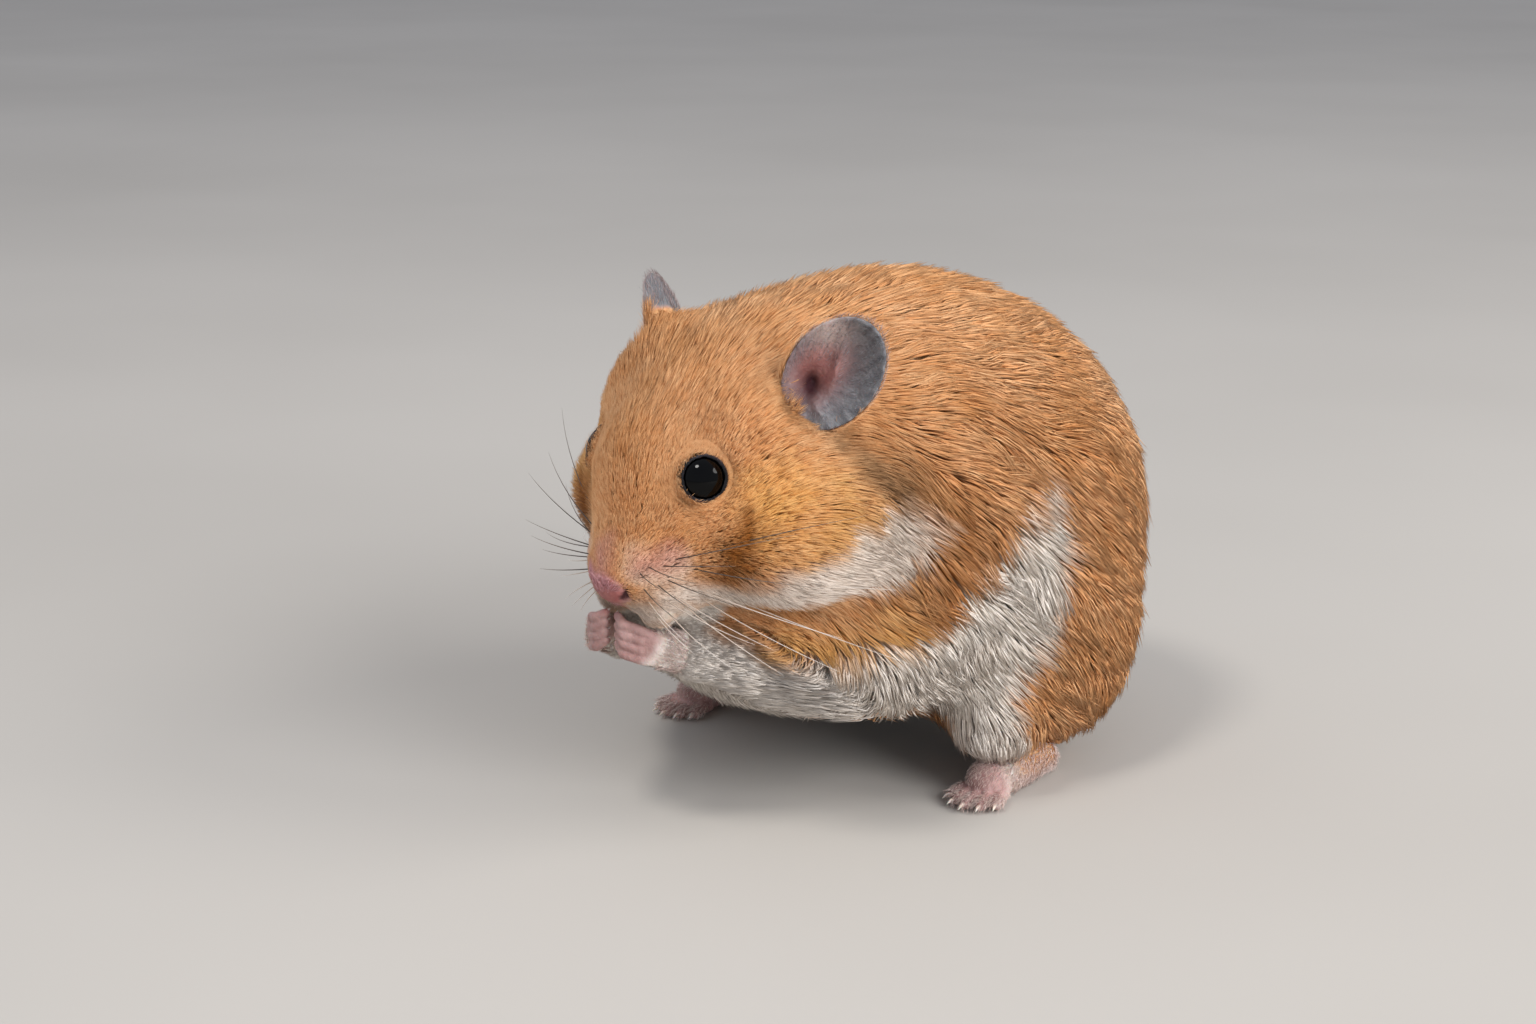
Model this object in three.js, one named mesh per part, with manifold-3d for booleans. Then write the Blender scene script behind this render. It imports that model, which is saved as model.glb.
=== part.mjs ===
// A life-size Syrian hamster, crouched on its hind feet and rump with both hands at its mouth.
// Millimetres, +Z up. It faces -Y, its left side is at +X, and z = 0 is the floor.
import * as THREE from "three";
import { mergeVertices } from "three/addons/utils/BufferGeometryUtils.js";
import Module from "manifold-3d";

const wasm = await Module();
wasm.setup();

// Driving dimensions.
const GAP = 0.3; // clearance between neighbouring pieces
const HEAD_MIDDLE = new THREE.Vector3(-1.5, -33.7, 48.4); // between the eyes
const HEAD_TURN = 9; // degrees, towards its right
const HEAD_DROOP = 30; // degrees, nose down
const EYE_RADIUS = 3.3;
const EYE_PLACE = [10, 0.2, 0.5]; // the left eye's centre, in the head's frame
const EAR_WIDTH = 12;
const EAR_LENGTH = 17;
const EAR_DEPTH = 3.2;
const EAR_THICKNESS = 1;
const HAND_MIDDLE = -3.5; // x of the plane the hands mirror each other across
const FOOT_LENGTH = 13; // heel to the roots of the toes
const SIDES = { left: 1, right: -1 };

const COLOURS = {
  coat: 0xc8803e,
  belly: 0xded6cc,
  skin: 0xd9a8a0,
  ear: 0x8d8488,
  eye: 0x0a0a0c,
};
const radians = THREE.MathUtils.degToRad;
const vec = (x, y, z) => new THREE.Vector3(x, y, z);

// ---------- Frames ----------

// The head's own frame, like the body's: x to its left, -y out of the face, z out of the crown.
const headTurn = new THREE.Quaternion().setFromEuler(
  new THREE.Euler(radians(HEAD_DROOP), 0, -radians(HEAD_TURN), "ZYX"),
);
const headFrame = new THREE.Matrix4().compose(HEAD_MIDDLE, headTurn, vec(1, 1, 1));
const inHead = (x, y, z) => vec(x, y, z).applyMatrix4(headFrame);
const headWards = (x, y, z) => vec(x, y, z).applyQuaternion(headTurn);

// ---------- The body's form, out to the tips of the coat ----------

// Each lobe: [name, centre, radii, blend width]. Paired lobes are given for the left side.
const RIGHT_EAR_ROOT = [[-14.6, 17.6, 6], [3.6, 3.8, 4.4]];
const HEAD_LOBES = [
  ["cranium", [0, 10, -2.5], [13.5, 16, 12], 6],
  ["brow", [0, 0, -2.5], [9.8, 8.5, 8], 6],
  ["muzzle", [0, -6, -8.5], [8, 8.2, 6.8], 5],
  ["nose_bridge", [0, -10.6, -8.6], [3.4, 4.4, 3.2], 4],
  ["jaw", [0, -4.5, -16.5], [6.4, 7, 4.6], 4],
  ["throat", [0, 8, -18], [14, 13, 9], 8],
  ["right_ear_root", ...RIGHT_EAR_ROOT, 3.5],
];
const HEAD_PAIRS = [
  ["whisker_pad", [5.2, -8, -11.4], [5.4, 5.2, 4.4], 4],
  ["cheek", [13.5, 6.2, -11.2], [14.6, 12.5, 11], 6],
  ["jowl", [14, 15.5, -16], [11, 14, 11], 8],
  ["ear_root", [12.5, 10.5, 2], [5.6, 6, 6], 6],
];
const NAPE_LOBES = [["nape", [-1, -13, 51.5], [19, 14, 15.5], 9]];
const TRUNK_LOBES = [
  ["rump", [0, 26.5, 33], [31.6, 27, 32], 10],
  ["back", [0, 7, 41], [29.5, 30, 29.5], 12],
  ["belly", [0, 4, 29], [31, 29, 18], 12],
  ["shoulders", [0, -11, 38], [26, 20, 24], 12],
  ["chest", [0, -14.5, 27], [18, 15, 12.5], 10],
];
const TRUNK_PAIRS = [
  ["haunch", [22, 19, 17], [13.5, 19, 18], 8],
  ["shoulder", [18, -11, 25], [11, 13, 13], 8],
];

const mirrored = ([name, [x, y, z], radii, blend]) => [
  [name, [x, y, z], radii, blend],
  [name, [-x, y, z], radii, blend],
];

// An ellipsoid's rounded distance, negative inside.
function ellipsoid(at, radii, turn) {
  const back = turn.clone().invert();
  const q = vec(0, 0, 0);
  return (p) => {
    q.copy(p).sub(at).applyQuaternion(back);
    const scaled = Math.hypot(q.x / radii[0], q.y / radii[1], q.z / radii[2]);
    const slope = Math.hypot(q.x / radii[0] ** 2, q.y / radii[1] ** 2, q.z / radii[2] ** 2);
    return slope < 1e-9 ? -Math.min(...radii) : (scaled * (scaled - 1)) / slope;
  };
}

// Joins two distances with a fillet of about the given width.
function blended(a, b, width) {
  const h = Math.max(width - Math.abs(a - b), 0) / width;
  return Math.min(a, b) - (h * h * width) / 4;
}

const NO_TURN = new THREE.Quaternion();
const bodyLobe = ([, at, radii, blend]) => ({ distance: ellipsoid(vec(...at), radii, NO_TURN), blend });
const headLobe = ([, at, radii, blend]) => ({
  distance: ellipsoid(inHead(...at), radii, headTurn),
  blend,
});
const fieldOf = (lobes) => (p) => lobes.reduce((sum, l) => blended(sum, l.distance(p), l.blend), 1e3);
const napeLobes = NAPE_LOBES.map(bodyLobe);
const trunkField = fieldOf([
  ...[...TRUNK_LOBES, ...TRUNK_PAIRS.flatMap(mirrored)].map(bodyLobe),
  ...napeLobes,
]);
const headField = fieldOf([
  ...[...HEAD_LOBES, ...HEAD_PAIRS.flatMap(mirrored)].map(headLobe),
  ...napeLobes,
]);

// ---------- Solids ----------

// A closed geometry as a solid. Vertices at the same place become one.
function solidOf(geometry) {
  const bare = geometry.clone();
  bare.deleteAttribute("normal");
  bare.deleteAttribute("uv");
  const merged = mergeVertices(bare, 1e-4);
  return new wasm.Manifold(
    new wasm.Mesh({
      numProp: 3,
      vertProperties: merged.attributes.position.array,
      triVerts: new Uint32Array(merged.index.array),
    }),
  );
}

function geometryOf(solid) {
  const { vertProperties, triVerts } = solid.getMesh();
  const geometry = new THREE.BufferGeometry();
  geometry.setAttribute("position", new THREE.BufferAttribute(new Float32Array(vertProperties), 3));
  geometry.setIndex(new THREE.BufferAttribute(new Uint32Array(triVerts), 1));
  geometry.computeVertexNormals();
  return geometry;
}

const joined = (solids) => solids.reduce((sum, s) => sum.add(s));

// A field's surface as seen from a centre inside it, let out by an offset.
const MARCH = 0.8;
const HALVINGS = 18;
function radialSolid(field, centre, detail, offset = 0) {
  const geometry = new THREE.IcosahedronGeometry(1, detail);
  geometry.deleteAttribute("normal");
  geometry.deleteAttribute("uv");
  const merged = mergeVertices(geometry, 1e-5);
  const place = merged.attributes.position;
  const direction = vec(0, 0, 0);
  const point = vec(0, 0, 0);
  const reached = (reach) => point.copy(direction).multiplyScalar(reach).add(centre);
  for (let i = 0; i < place.count; i++) {
    direction.fromBufferAttribute(place, i).normalize();
    let far = MARCH;
    while (field(reached(far)) <= offset) far += MARCH;
    let near = far - MARCH;
    for (let k = 0; k < HALVINGS; k++) {
      const middle = (near + far) / 2;
      if (field(reached(middle)) > offset) far = middle;
      else near = middle;
    }
    place.setXYZ(i, ...reached(near).toArray());
  }
  return solidOf(merged);
}

// A ball stretched to three radii, in a frame of its own.
function ball(at, radii, turn = NO_TURN, around = 16) {
  const geometry = new THREE.SphereGeometry(1, around, Math.round(around / 2));
  geometry.applyMatrix4(new THREE.Matrix4().compose(at, turn, vec(...radii)));
  return solidOf(geometry);
}

// The same region twice: as it is, and let out by the gap for its neighbours to keep clear of.
function region(at, radii, turn = NO_TURN, around = 20) {
  const wide = radii.map((r) => r + GAP);
  return { own: ball(at, radii, turn, around), wide: ball(at, wide, turn, around) };
}

// A rounded limb between two points, from one radius to another.
function limb(from, to, fromRadius, toRadius, sides = 12, capSteps = 3) {
  const length = from.distanceTo(to);
  const profile = [];
  for (let k = 0; k <= capSteps; k++) {
    const angle = (Math.PI / 2) * (k / capSteps);
    profile.push(new THREE.Vector2(fromRadius * Math.sin(angle), -fromRadius * Math.cos(angle)));
  }
  for (let k = 0; k <= capSteps; k++) {
    const angle = (Math.PI / 2) * (k / capSteps);
    profile.push(new THREE.Vector2(toRadius * Math.cos(angle), length + toRadius * Math.sin(angle)));
  }
  profile[0].x = 0;
  profile[profile.length - 1].x = 0;
  const geometry = new THREE.LatheGeometry(profile, sides);
  const along = to.clone().sub(from).normalize();
  const turn = new THREE.Quaternion().setFromUnitVectors(vec(0, 1, 0), along);
  geometry.applyMatrix4(new THREE.Matrix4().compose(from, turn, vec(1, 1, 1)));
  return solidOf(geometry);
}

// A claw: a small cone growing out of a toe's tip.
function claw(root, tip, radius) {
  const length = root.distanceTo(tip);
  const geometry = new THREE.ConeGeometry(radius, length, 4);
  geometry.translate(0, length / 2, 0);
  const along = tip.clone().sub(root).normalize();
  const turn = new THREE.Quaternion().setFromUnitVectors(vec(0, 1, 0), along);
  geometry.applyMatrix4(new THREE.Matrix4().compose(root, turn, vec(1, 1, 1)));
  return solidOf(geometry);
}

// Everything on one side of a plane: a big box whose face lies on the plane, growing along its normal.
const BIG = 400;
function beyond(point, normal) {
  const geometry = new THREE.BoxGeometry(BIG, BIG, BIG);
  geometry.translate(0, 0, BIG / 2);
  const turn = new THREE.Quaternion().setFromUnitVectors(vec(0, 0, 1), normal.clone().normalize());
  geometry.applyMatrix4(new THREE.Matrix4().compose(point, turn, vec(1, 1, 1)));
  return solidOf(geometry);
}

const aboveFloor = beyond(vec(0, 0, 0), vec(0, 0, 1));
const nodes = [];
const add = (name, solid, colour) => nodes.push({ name, solid, colour });

// ---------- Head, neck and trunk ----------

const TRUNK_CENTRE = vec(0, 8, 36);
const HEAD_CENTRE = inHead(0, 3, -9);
const TRUNK_DETAIL = 6;
const HEAD_DETAIL = 7;
const POCKET_DETAIL = 4;
const POCKET_GAP = GAP + 0.7; // a coarser form is let out further
const NECK_PLANE = 22; // behind the eyes, where head meets trunk
const headForm = radialSolid(headField, HEAD_CENTRE, HEAD_DETAIL);
const headRoom = radialSolid(headField, HEAD_CENTRE, HEAD_DETAIL, GAP);
const rootRoom = RIGHT_EAR_ROOT[1].map((r) => r + 3 * GAP);
const headPocket = radialSolid(headField, HEAD_CENTRE, POCKET_DETAIL, POCKET_GAP).add(
  ball(inHead(...RIGHT_EAR_ROOT[0]), rootRoom, headTurn, 10),
);
const trunkForm = radialSolid(trunkField, TRUNK_CENTRE, TRUNK_DETAIL).intersect(aboveFloor);
const trunkRoom = radialSolid(trunkField, TRUNK_CENTRE, TRUNK_DETAIL, GAP);
const whole = trunkForm.add(headForm);

const faceward = headWards(0, -1, 0);
const neckNormal = headWards(0, -1, -0.22);
const headSide = beyond(inHead(0, NECK_PLANE, 0), neckNormal);
const headSideRoom = beyond(inHead(0, NECK_PLANE + GAP, 0), neckNormal);
const neckRegion = region(inHead(0, NECK_PLANE, 4), [19, 4.5, 17], headTurn, 12);
let head = headForm.intersect(headSide).subtract(neckRegion.wide);
let trunk = whole.subtract(headPocket.intersect(headSideRoom)).subtract(neckRegion.wide);
add("neck", whole.intersect(neckRegion.own), COLOURS.coat);

// The lower jaw, below the line of the mouth and in front of its hinge.
const MOUTH = inHead(0, -12, -15.3);
const MOUTH_DOWN = headWards(0, 0.1, -1);
const GAPE = 0.6;
const mouthPlane = beyond(MOUTH, MOUTH_DOWN);
const mouthRoom = beyond(MOUTH.clone().addScaledVector(MOUTH_DOWN, -GAPE), MOUTH_DOWN);
const jawRegion = region(inHead(0, -4, -19), [8, 10, 6.5], headTurn, 14);
add("lower_jaw", head.intersect(mouthPlane).intersect(jawRegion.own), COLOURS.belly);
head = head.subtract(mouthRoom.intersect(jawRegion.wide));

// The nose: the bare tip of the muzzle.
const noseRegion = region(inHead(0, -15, -9.4), [2.8, 2.8, 2.5], headTurn, 12);
add("nose", head.intersect(noseRegion.own), COLOURS.skin);
head = head.subtract(noseRegion.wide);

// ---------- Eyes and ears ----------

const EYE_SIDES = 14;
for (const [side, sign] of Object.entries(SIDES)) {
  const at = inHead(sign * EYE_PLACE[0], EYE_PLACE[1], EYE_PLACE[2]);
  const radii = [EYE_RADIUS, EYE_RADIUS, EYE_RADIUS];
  add(`eye_${side}`, ball(at, radii, headTurn, EYE_SIDES), COLOURS.eye);
  head = head.subtract(ball(at, radii.map((r) => r + GAP), headTurn, EYE_SIDES));
}

// An ear is a shallow cup. Its profile runs out along the back and in along the hollow.
const EAR_BASE = [15.8, 14.8, 1.5]; // left, in the head's frame
const EAR_RISE = [0.5, 0.68, 0.53]; // from the root to the tip
// The way the hollow faces: the right ear is turned further out than the left.
const EAR_OPENINGS = { left: [0.62, -0.69, 0.38], right: [0.9, -0.24, 0.36] };
const EAR_BURIED = 0.14; // share of its length under the fur
const EAR_STEPS = 3;
function earGeometry() {
  const profile = [];
  const cup = (r) => -EAR_DEPTH * (1 - r ** 2);
  for (let k = 0; k <= EAR_STEPS; k++) {
    const r = Math.sin((Math.PI / 2) * (k / EAR_STEPS));
    profile.push(new THREE.Vector2(r, cup(r) - EAR_THICKNESS * (1 - r ** 4 / 2)));
  }
  for (let k = EAR_STEPS; k >= 0; k--) {
    const r = 0.97 * Math.sin((Math.PI / 2) * (k / EAR_STEPS));
    profile.push(new THREE.Vector2(r, cup(r)));
  }
  profile[0].x = 0;
  return new THREE.LatheGeometry(profile, 16);
}

function earSolid(side, sign) {
  const mirror = (v) => headWards(sign * v[0], v[1], v[2]).normalize();
  const rise = mirror(EAR_RISE);
  const across = rise.clone().cross(mirror(EAR_OPENINGS[side])).normalize();
  const opening = across.clone().cross(rise);
  const base = inHead(sign * EAR_BASE[0], EAR_BASE[1], EAR_BASE[2]);
  const middle = base.addScaledVector(rise, EAR_LENGTH * (0.5 - EAR_BURIED));
  const geometry = earGeometry();
  geometry.scale(EAR_WIDTH / 2, 1, EAR_LENGTH / 2);
  const axes = new THREE.Matrix4().makeBasis(across, opening, across.clone().cross(opening));
  geometry.applyMatrix4(axes.setPosition(middle));
  return solidOf(geometry);
}

for (const [side, sign] of Object.entries(SIDES)) {
  const clear = earSolid(side, sign).subtract(headRoom).subtract(trunkRoom);
  add(`ear_${side}`, clear, COLOURS.ear);
}

// ---------- Limbs ----------

// Each limb's roots are given for the left side, and mirrored for the right.
const THIGH = { at: [25, 16, 18], radii: [17, 17, 20] };
const UPPER_ARM = { at: [20, -14, 26], radii: [13, 11, 13] };
const ELBOW = [15, -17, 19];
const WRIST = [6.4, -34.4, 24.4]; // the hands' points are measured from HAND_MIDDLE
const PALM = [5, -37, 27];
const FOREARM_RADII = [6, 3.6];
const KNEE = [26, 5, 11];
const ANKLE = [27, 10, 5];
const HEEL = [26.5, 14, 2.4];
const FOOT_OUT = 5; // degrees
const FOOT_RADII = [2.6, 3];
const HIND_TOES = [-2, -1, 0, 1, 2];
const HIND_TOE_LENGTHS = [3.6, 5, 5.6, 5, 3.6];
const FINGERS = [0, 1, 2, 3];
const FINGER_RADIUS = 0.82;
const FINGER_PITCH = 1.8;

for (const [side, sign] of Object.entries(SIDES)) {
  const body = ([x, y, z]) => vec(sign * x, y, z);
  const hand = ([x, y, z]) => vec(HAND_MIDDLE + sign * x, y, z);

  const thigh = region(body(THIGH.at), THIGH.radii, NO_TURN, 14);
  add(`thigh_${side}`, trunk.intersect(thigh.own), COLOURS.coat);
  trunk = trunk.subtract(thigh.wide);

  const upperArm = region(body(UPPER_ARM.at), UPPER_ARM.radii, NO_TURN, 12);
  add(`upper_arm_${side}`, trunk.intersect(upperArm.own), COLOURS.coat);
  trunk = trunk.subtract(upperArm.wide);

  // The forearm ends at the wrist, the hand begins a gap further on.
  const elbow = body(ELBOW);
  const wrist = hand(WRIST);
  const palm = hand(PALM);
  const alongArm = palm.clone().sub(elbow).normalize();
  const forearm = limb(elbow, wrist, ...FOREARM_RADII)
    .subtract(beyond(wrist, alongArm))
    .subtract(trunkRoom)
    .subtract(headRoom);
  add(`forearm_${side}`, forearm, COLOURS.belly);

  // Four fingers lie across each other towards the mouth, each with its claw.
  const pieces = [limb(wrist, palm, 2.9, 3.1, 8, 2)];
  for (const k of FINGERS) {
    const lift = FINGER_PITCH * (k - 1.5);
    const root = hand([4.2, -38.6, 27.2 + lift * 0.95]);
    const middle = hand([2.5, -40.8, 27.9 + lift]);
    const tip = hand([1.2, -40.4, 28.9 + lift * 0.95]);
    pieces.push(limb(root, middle, FINGER_RADIUS, FINGER_RADIUS, 5, 1));
    pieces.push(limb(middle, tip, FINGER_RADIUS, 0.7, 5, 1));
    pieces.push(claw(tip, hand([0.6, -39.6, 29.9 + lift * 0.95]), 0.5));
  }
  const handSolid = joined(pieces)
    .intersect(beyond(wrist.clone().addScaledVector(alongArm, GAP), alongArm))
    .intersect(beyond(vec(HAND_MIDDLE + (sign * GAP) / 2, 0, 0), vec(sign, 0, 0)))
    .subtract(headRoom)
    .subtract(trunkRoom);
  add(`hand_${side}`, handSolid, COLOURS.skin);

  // The lower leg shows only between the haunch and the foot.
  const knee = body(KNEE);
  const ankle = body(ANKLE);
  const soleward = beyond(vec(0, 0, ANKLE[2] - GAP), vec(0, 0, -1));
  const shank = limb(knee, ankle, 8.5, 5).subtract(trunkRoom).subtract(soleward);
  add(`lower_leg_${side}`, shank, COLOURS.belly);

  // The foot lies flat, with five toes and their claws.
  const heel = body(HEEL);
  const forward = vec(sign * Math.sin(radians(FOOT_OUT)), -Math.cos(radians(FOOT_OUT)), 0);
  const outward = vec(Math.cos(radians(FOOT_OUT)), sign * Math.sin(radians(FOOT_OUT)), 0);
  const toeRoots = heel.clone().addScaledVector(forward, FOOT_LENGTH);
  const footPieces = [limb(heel, toeRoots, ...FOOT_RADII, 8, 2)];
  HIND_TOES.forEach((k, i) => {
    const spread = outward.clone().multiplyScalar(k);
    const root = toeRoots.clone().addScaledVector(spread, 1.15).setZ(1.1);
    const way = forward.clone().addScaledVector(spread, 0.17).normalize();
    const tip = root.clone().addScaledVector(way, HIND_TOE_LENGTHS[i]).setZ(0.8);
    const clawTip = tip.clone().addScaledVector(way, 2.2).setZ(0.45);
    footPieces.push(limb(root, tip, 1.15, 0.85, 5, 1));
    footPieces.push(claw(tip, clawTip, 0.55));
  });
  const footSolid = joined(footPieces)
    .intersect(aboveFloor)
    .intersect(beyond(vec(0, 0, ANKLE[2] - 2 * GAP), vec(0, 0, -1)))
    .subtract(trunkRoom);
  add(`foot_${side}`, footSolid, COLOURS.skin);
}

// ---------- Tail ----------

const TAIL_ROOT = vec(0, 48, 14);
const TAIL_TIP = vec(0, 55, 10);
const tail = limb(TAIL_ROOT, TAIL_TIP, 3, 1.3, 10).subtract(trunkRoom);
add("tail", tail, COLOURS.skin);
add("trunk", trunk, COLOURS.coat);
add("head", head, COLOURS.coat);

// ---------- The finished group, standing on the floor about its own middle ----------

const group = new THREE.Group();
for (const { name, solid, colour } of nodes) {
  const mesh = new THREE.Mesh(
    geometryOf(solid),
    new THREE.MeshStandardMaterial({ color: colour, roughness: 0.8, metalness: 0 }),
  );
  mesh.name = name;
  group.add(mesh);
}
const middle = new THREE.Box3().setFromObject(group).getCenter(vec(0, 0, 0)).setZ(0);
for (const mesh of group.children) mesh.geometry.translate(-middle.x, -middle.y, 0);

export default group;
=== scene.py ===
import math

import bmesh
import bpy
import numpy as np
import openvdb as vdb
from mathutils import Matrix, Vector
from mathutils.kdtree import KDTree


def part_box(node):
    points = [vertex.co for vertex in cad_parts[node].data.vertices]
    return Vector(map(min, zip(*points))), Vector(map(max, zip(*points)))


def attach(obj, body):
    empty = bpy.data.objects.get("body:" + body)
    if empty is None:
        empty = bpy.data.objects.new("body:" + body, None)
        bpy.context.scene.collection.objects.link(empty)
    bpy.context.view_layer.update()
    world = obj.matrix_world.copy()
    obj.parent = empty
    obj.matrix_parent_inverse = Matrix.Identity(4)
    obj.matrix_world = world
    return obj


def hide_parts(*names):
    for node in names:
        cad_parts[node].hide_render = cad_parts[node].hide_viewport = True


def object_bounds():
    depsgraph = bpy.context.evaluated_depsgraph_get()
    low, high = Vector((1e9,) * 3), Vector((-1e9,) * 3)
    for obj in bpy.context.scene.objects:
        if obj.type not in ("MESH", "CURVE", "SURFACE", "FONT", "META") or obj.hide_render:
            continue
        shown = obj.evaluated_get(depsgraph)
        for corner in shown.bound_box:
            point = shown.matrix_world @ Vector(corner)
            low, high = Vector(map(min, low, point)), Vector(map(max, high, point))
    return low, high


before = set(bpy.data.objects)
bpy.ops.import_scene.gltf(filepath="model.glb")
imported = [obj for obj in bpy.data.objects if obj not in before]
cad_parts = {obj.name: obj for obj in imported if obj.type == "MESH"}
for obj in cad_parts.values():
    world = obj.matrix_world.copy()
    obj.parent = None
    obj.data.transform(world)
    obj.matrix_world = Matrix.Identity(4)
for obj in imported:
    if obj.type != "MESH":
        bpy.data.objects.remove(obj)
cad_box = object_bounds()
MM = 0.001
SIDES = {"left": 1, "right": -1}
rng = np.random.default_rng(20)


# ---------- Frames, in millimetres ----------

def unit(v):
    v = np.asarray(v, float)
    return v / np.maximum(np.linalg.norm(v, axis=-1, keepdims=True), 1e-9)


def far_from(points, spot):
    """Distance of each point from a spot."""
    return np.linalg.norm(points - spot, axis=-1)


def middle(node):
    low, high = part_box(node)
    return (np.array(low) + np.array(high)) / 2 / MM


EYE_RADIUS = 3.3
EYE_PLACE = np.array([0, 0.2, 0.5])  # halfway between the eyes' centres, in the head's frame
DROOP = math.radians(30)
EYES = {side: middle(f"eye_{side}") for side in SIDES}
head_x = unit(EYES["left"] - EYES["right"])
head_y = unit(np.array([-head_x[1], head_x[0], math.tan(DROOP)]))
head_axes = np.stack([head_x, head_y, np.cross(head_x, head_y)])
HEAD = (EYES["left"] + EYES["right"]) / 2 - EYE_PLACE @ head_axes
BODY = HEAD - np.array([-1.5, -33.7, 48.4])  # what the body's own figures are measured from


def in_head(p):
    """Points of the part's frame as the head's own left, back and up."""
    return (np.asarray(p, float) - HEAD) @ head_axes.T


def from_head(q):
    return np.asarray(q, float) @ head_axes + HEAD


def head_way(q):
    return unit(np.asarray(q, float) @ head_axes)


def from_body(p):
    return np.asarray(p, float) + BODY


def mirrored(p, sign):
    """The left side's figures for the side of the given sign."""
    return np.asarray(p, float) * [sign, 1, 1]


# ---------- Distance fields ----------

def smooth_min(a, b, width):
    h = np.maximum(width - np.abs(a - b), 0) / width
    return np.minimum(a, b) - h * h * width / 4


def smooth_max(a, b, width):
    return -smooth_min(-a, -b, width)


def ramp(x, low, high):
    """0 below low, 1 above high, and smooth between."""
    t = np.clip((x - low) / (high - low), 0, 1)
    return t * t * (3 - 2 * t)


def capsule(points, a, b, radius_a, radius_b):
    pa, ba = points - a, np.asarray(b) - a
    h = np.clip(pa @ ba / (ba @ ba), 0, 1)
    return far_from(pa, h[..., None] * ba) - (radius_a + (radius_b - radius_a) * h)


def chain(points, stops, radii):
    pairs = zip(stops[:-1], stops[1:], radii[:-1], radii[1:])
    return np.minimum.reduce([capsule(points, a, b, ra, rb) for a, b, ra, rb in pairs])


class Field:
    """Values on a regular grid over the part's box, in millimetres."""

    def __init__(self, step, margin=3.0):
        low = np.array(cad_box[0]) / MM - margin
        high = np.array(cad_box[1]) / MM + margin
        self.step = step
        self.start = np.floor(low / step).astype(int)
        self.shape = tuple(int(n) for n in np.ceil(high / step).astype(int) - self.start + 1)

    def read(self, grid):
        """The values of an OpenVDB grid of the same step."""
        out = np.empty(self.shape, np.float32)
        grid.copyToArray(out, ijk=tuple(int(i) for i in self.start))
        return out

    def grid(self, values, background, tolerance=0.0):
        """An OpenVDB grid of the values."""
        grid = vdb.FloatGrid(background)
        grid.copyFromArray(values, ijk=tuple(int(i) for i in self.start), tolerance=tolerance)
        grid.transform = vdb.createLinearTransform(voxelSize=self.step)
        return grid

    def axis(self, a):
        return (np.arange(self.shape[a]) + self.start[a]) * self.step

    def sample(self, values, points):
        """The values between the grid's own places, taken in proportion."""
        at = np.asarray(points) / self.step - self.start
        at = np.clip(at, 0, np.array(self.shape) - 1.001)
        base = at.astype(int)
        f = (at - base).astype(np.float32)
        out = 0
        for corner in range(8):
            bits = [(corner >> a) & 1 for a in range(3)]
            weight = 1
            for a in range(3):
                weight = weight * (f[:, a] if bits[a] else 1 - f[:, a])
            out = out + weight * values[base[:, 0] + bits[0], base[:, 1] + bits[1], base[:, 2] + bits[2]]
        return out


def blur(values, sigma):
    """A Gaussian blur, its width in steps of the grid."""
    reach = int(math.ceil(sigma * 2.5))
    kernel = np.exp(-0.5 * (np.arange(-reach, reach + 1) / sigma) ** 2)
    kernel /= kernel.sum()
    for axis in range(3):
        padded = np.pad(values, [(reach, reach) if a == axis else (0, 0) for a in range(3)], mode="edge")
        out = np.zeros_like(values)
        for k, weight in enumerate(kernel):
            cut = [slice(None)] * 3
            cut[axis] = slice(k, k + values.shape[axis])
            out += np.float32(weight) * padded[tuple(cut)]
        values = out
    return values


def surface_grid(points, step, half_width, **polygons):
    """Distance to a closed surface, given by its triangles or its quads."""
    return vdb.FloatGrid.createLevelSetFromPolygons(
        points.astype(np.float32), transform=vdb.createLinearTransform(voxelSize=step), halfWidth=half_width,
        **{kind: corners.astype(np.uint32) for kind, corners in polygons.items()})


def node_polygons(name):
    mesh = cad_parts[name].data
    points = np.empty(len(mesh.vertices) * 3)
    mesh.vertices.foreach_get("co", points)
    mesh.calc_loop_triangles()
    triangles = np.empty(len(mesh.loop_triangles) * 3, np.int32)
    mesh.loop_triangles.foreach_get("vertices", triangles)
    return points.reshape(-1, 3) / MM, triangles.reshape(-1, 3)


FURRED = ["head", "neck", "lower_jaw", "nose", "trunk", "eye_left", "eye_right"]
FURRED += [f"{part}_{side}" for part in ("upper_arm", "forearm", "thigh", "lower_leg") for side in SIDES]
FLESH = [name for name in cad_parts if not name.startswith("eye_")]
COARSE = 0.6  # the step of the coat's grid
FINE = 0.25  # the step of the skin's grid
FAR = 3.0  # the distance given to places away from the solids
SOLID_REACH = 4.0  # how far a solid's own distance is worked out, in steps
TIPS_REACH = 16.0
CLOSING = 0.7  # half the widest gap between the solids
EYE_AXIS = [0.84, -0.27, 0.47]
EYE_RISE = 2.25  # how far an eye's centre lies under the tips of the coat
EYE_REACH = 6.0


def closed_union(nodes, field, reach):
    """Distance to the solids taken together, with the gaps between them closed."""
    union = np.full(field.shape, FAR, np.float32)
    for name in nodes:
        points, triangles = node_polygons(name)
        solid = surface_grid(points, field.step, SOLID_REACH, triangles=triangles)
        union = np.minimum(union, field.read(solid))
    points, quads = field.grid(union - CLOSING, FAR).convertToQuads(isovalue=0)
    return field.read(surface_grid(points, field.step, reach / field.step, quads=quads)) + CLOSING


def eye_way(sign):
    return head_way(mirrored(EYE_AXIS, sign))


def eye_place(points, side):
    """Distance from an eye's centre and from its axis, and height along the axis."""
    away, way = points - EYES[side], eye_way(SIDES[side])
    return np.linalg.norm(away, axis=-1), np.linalg.norm(np.cross(away, way), axis=-1), away @ way


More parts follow.
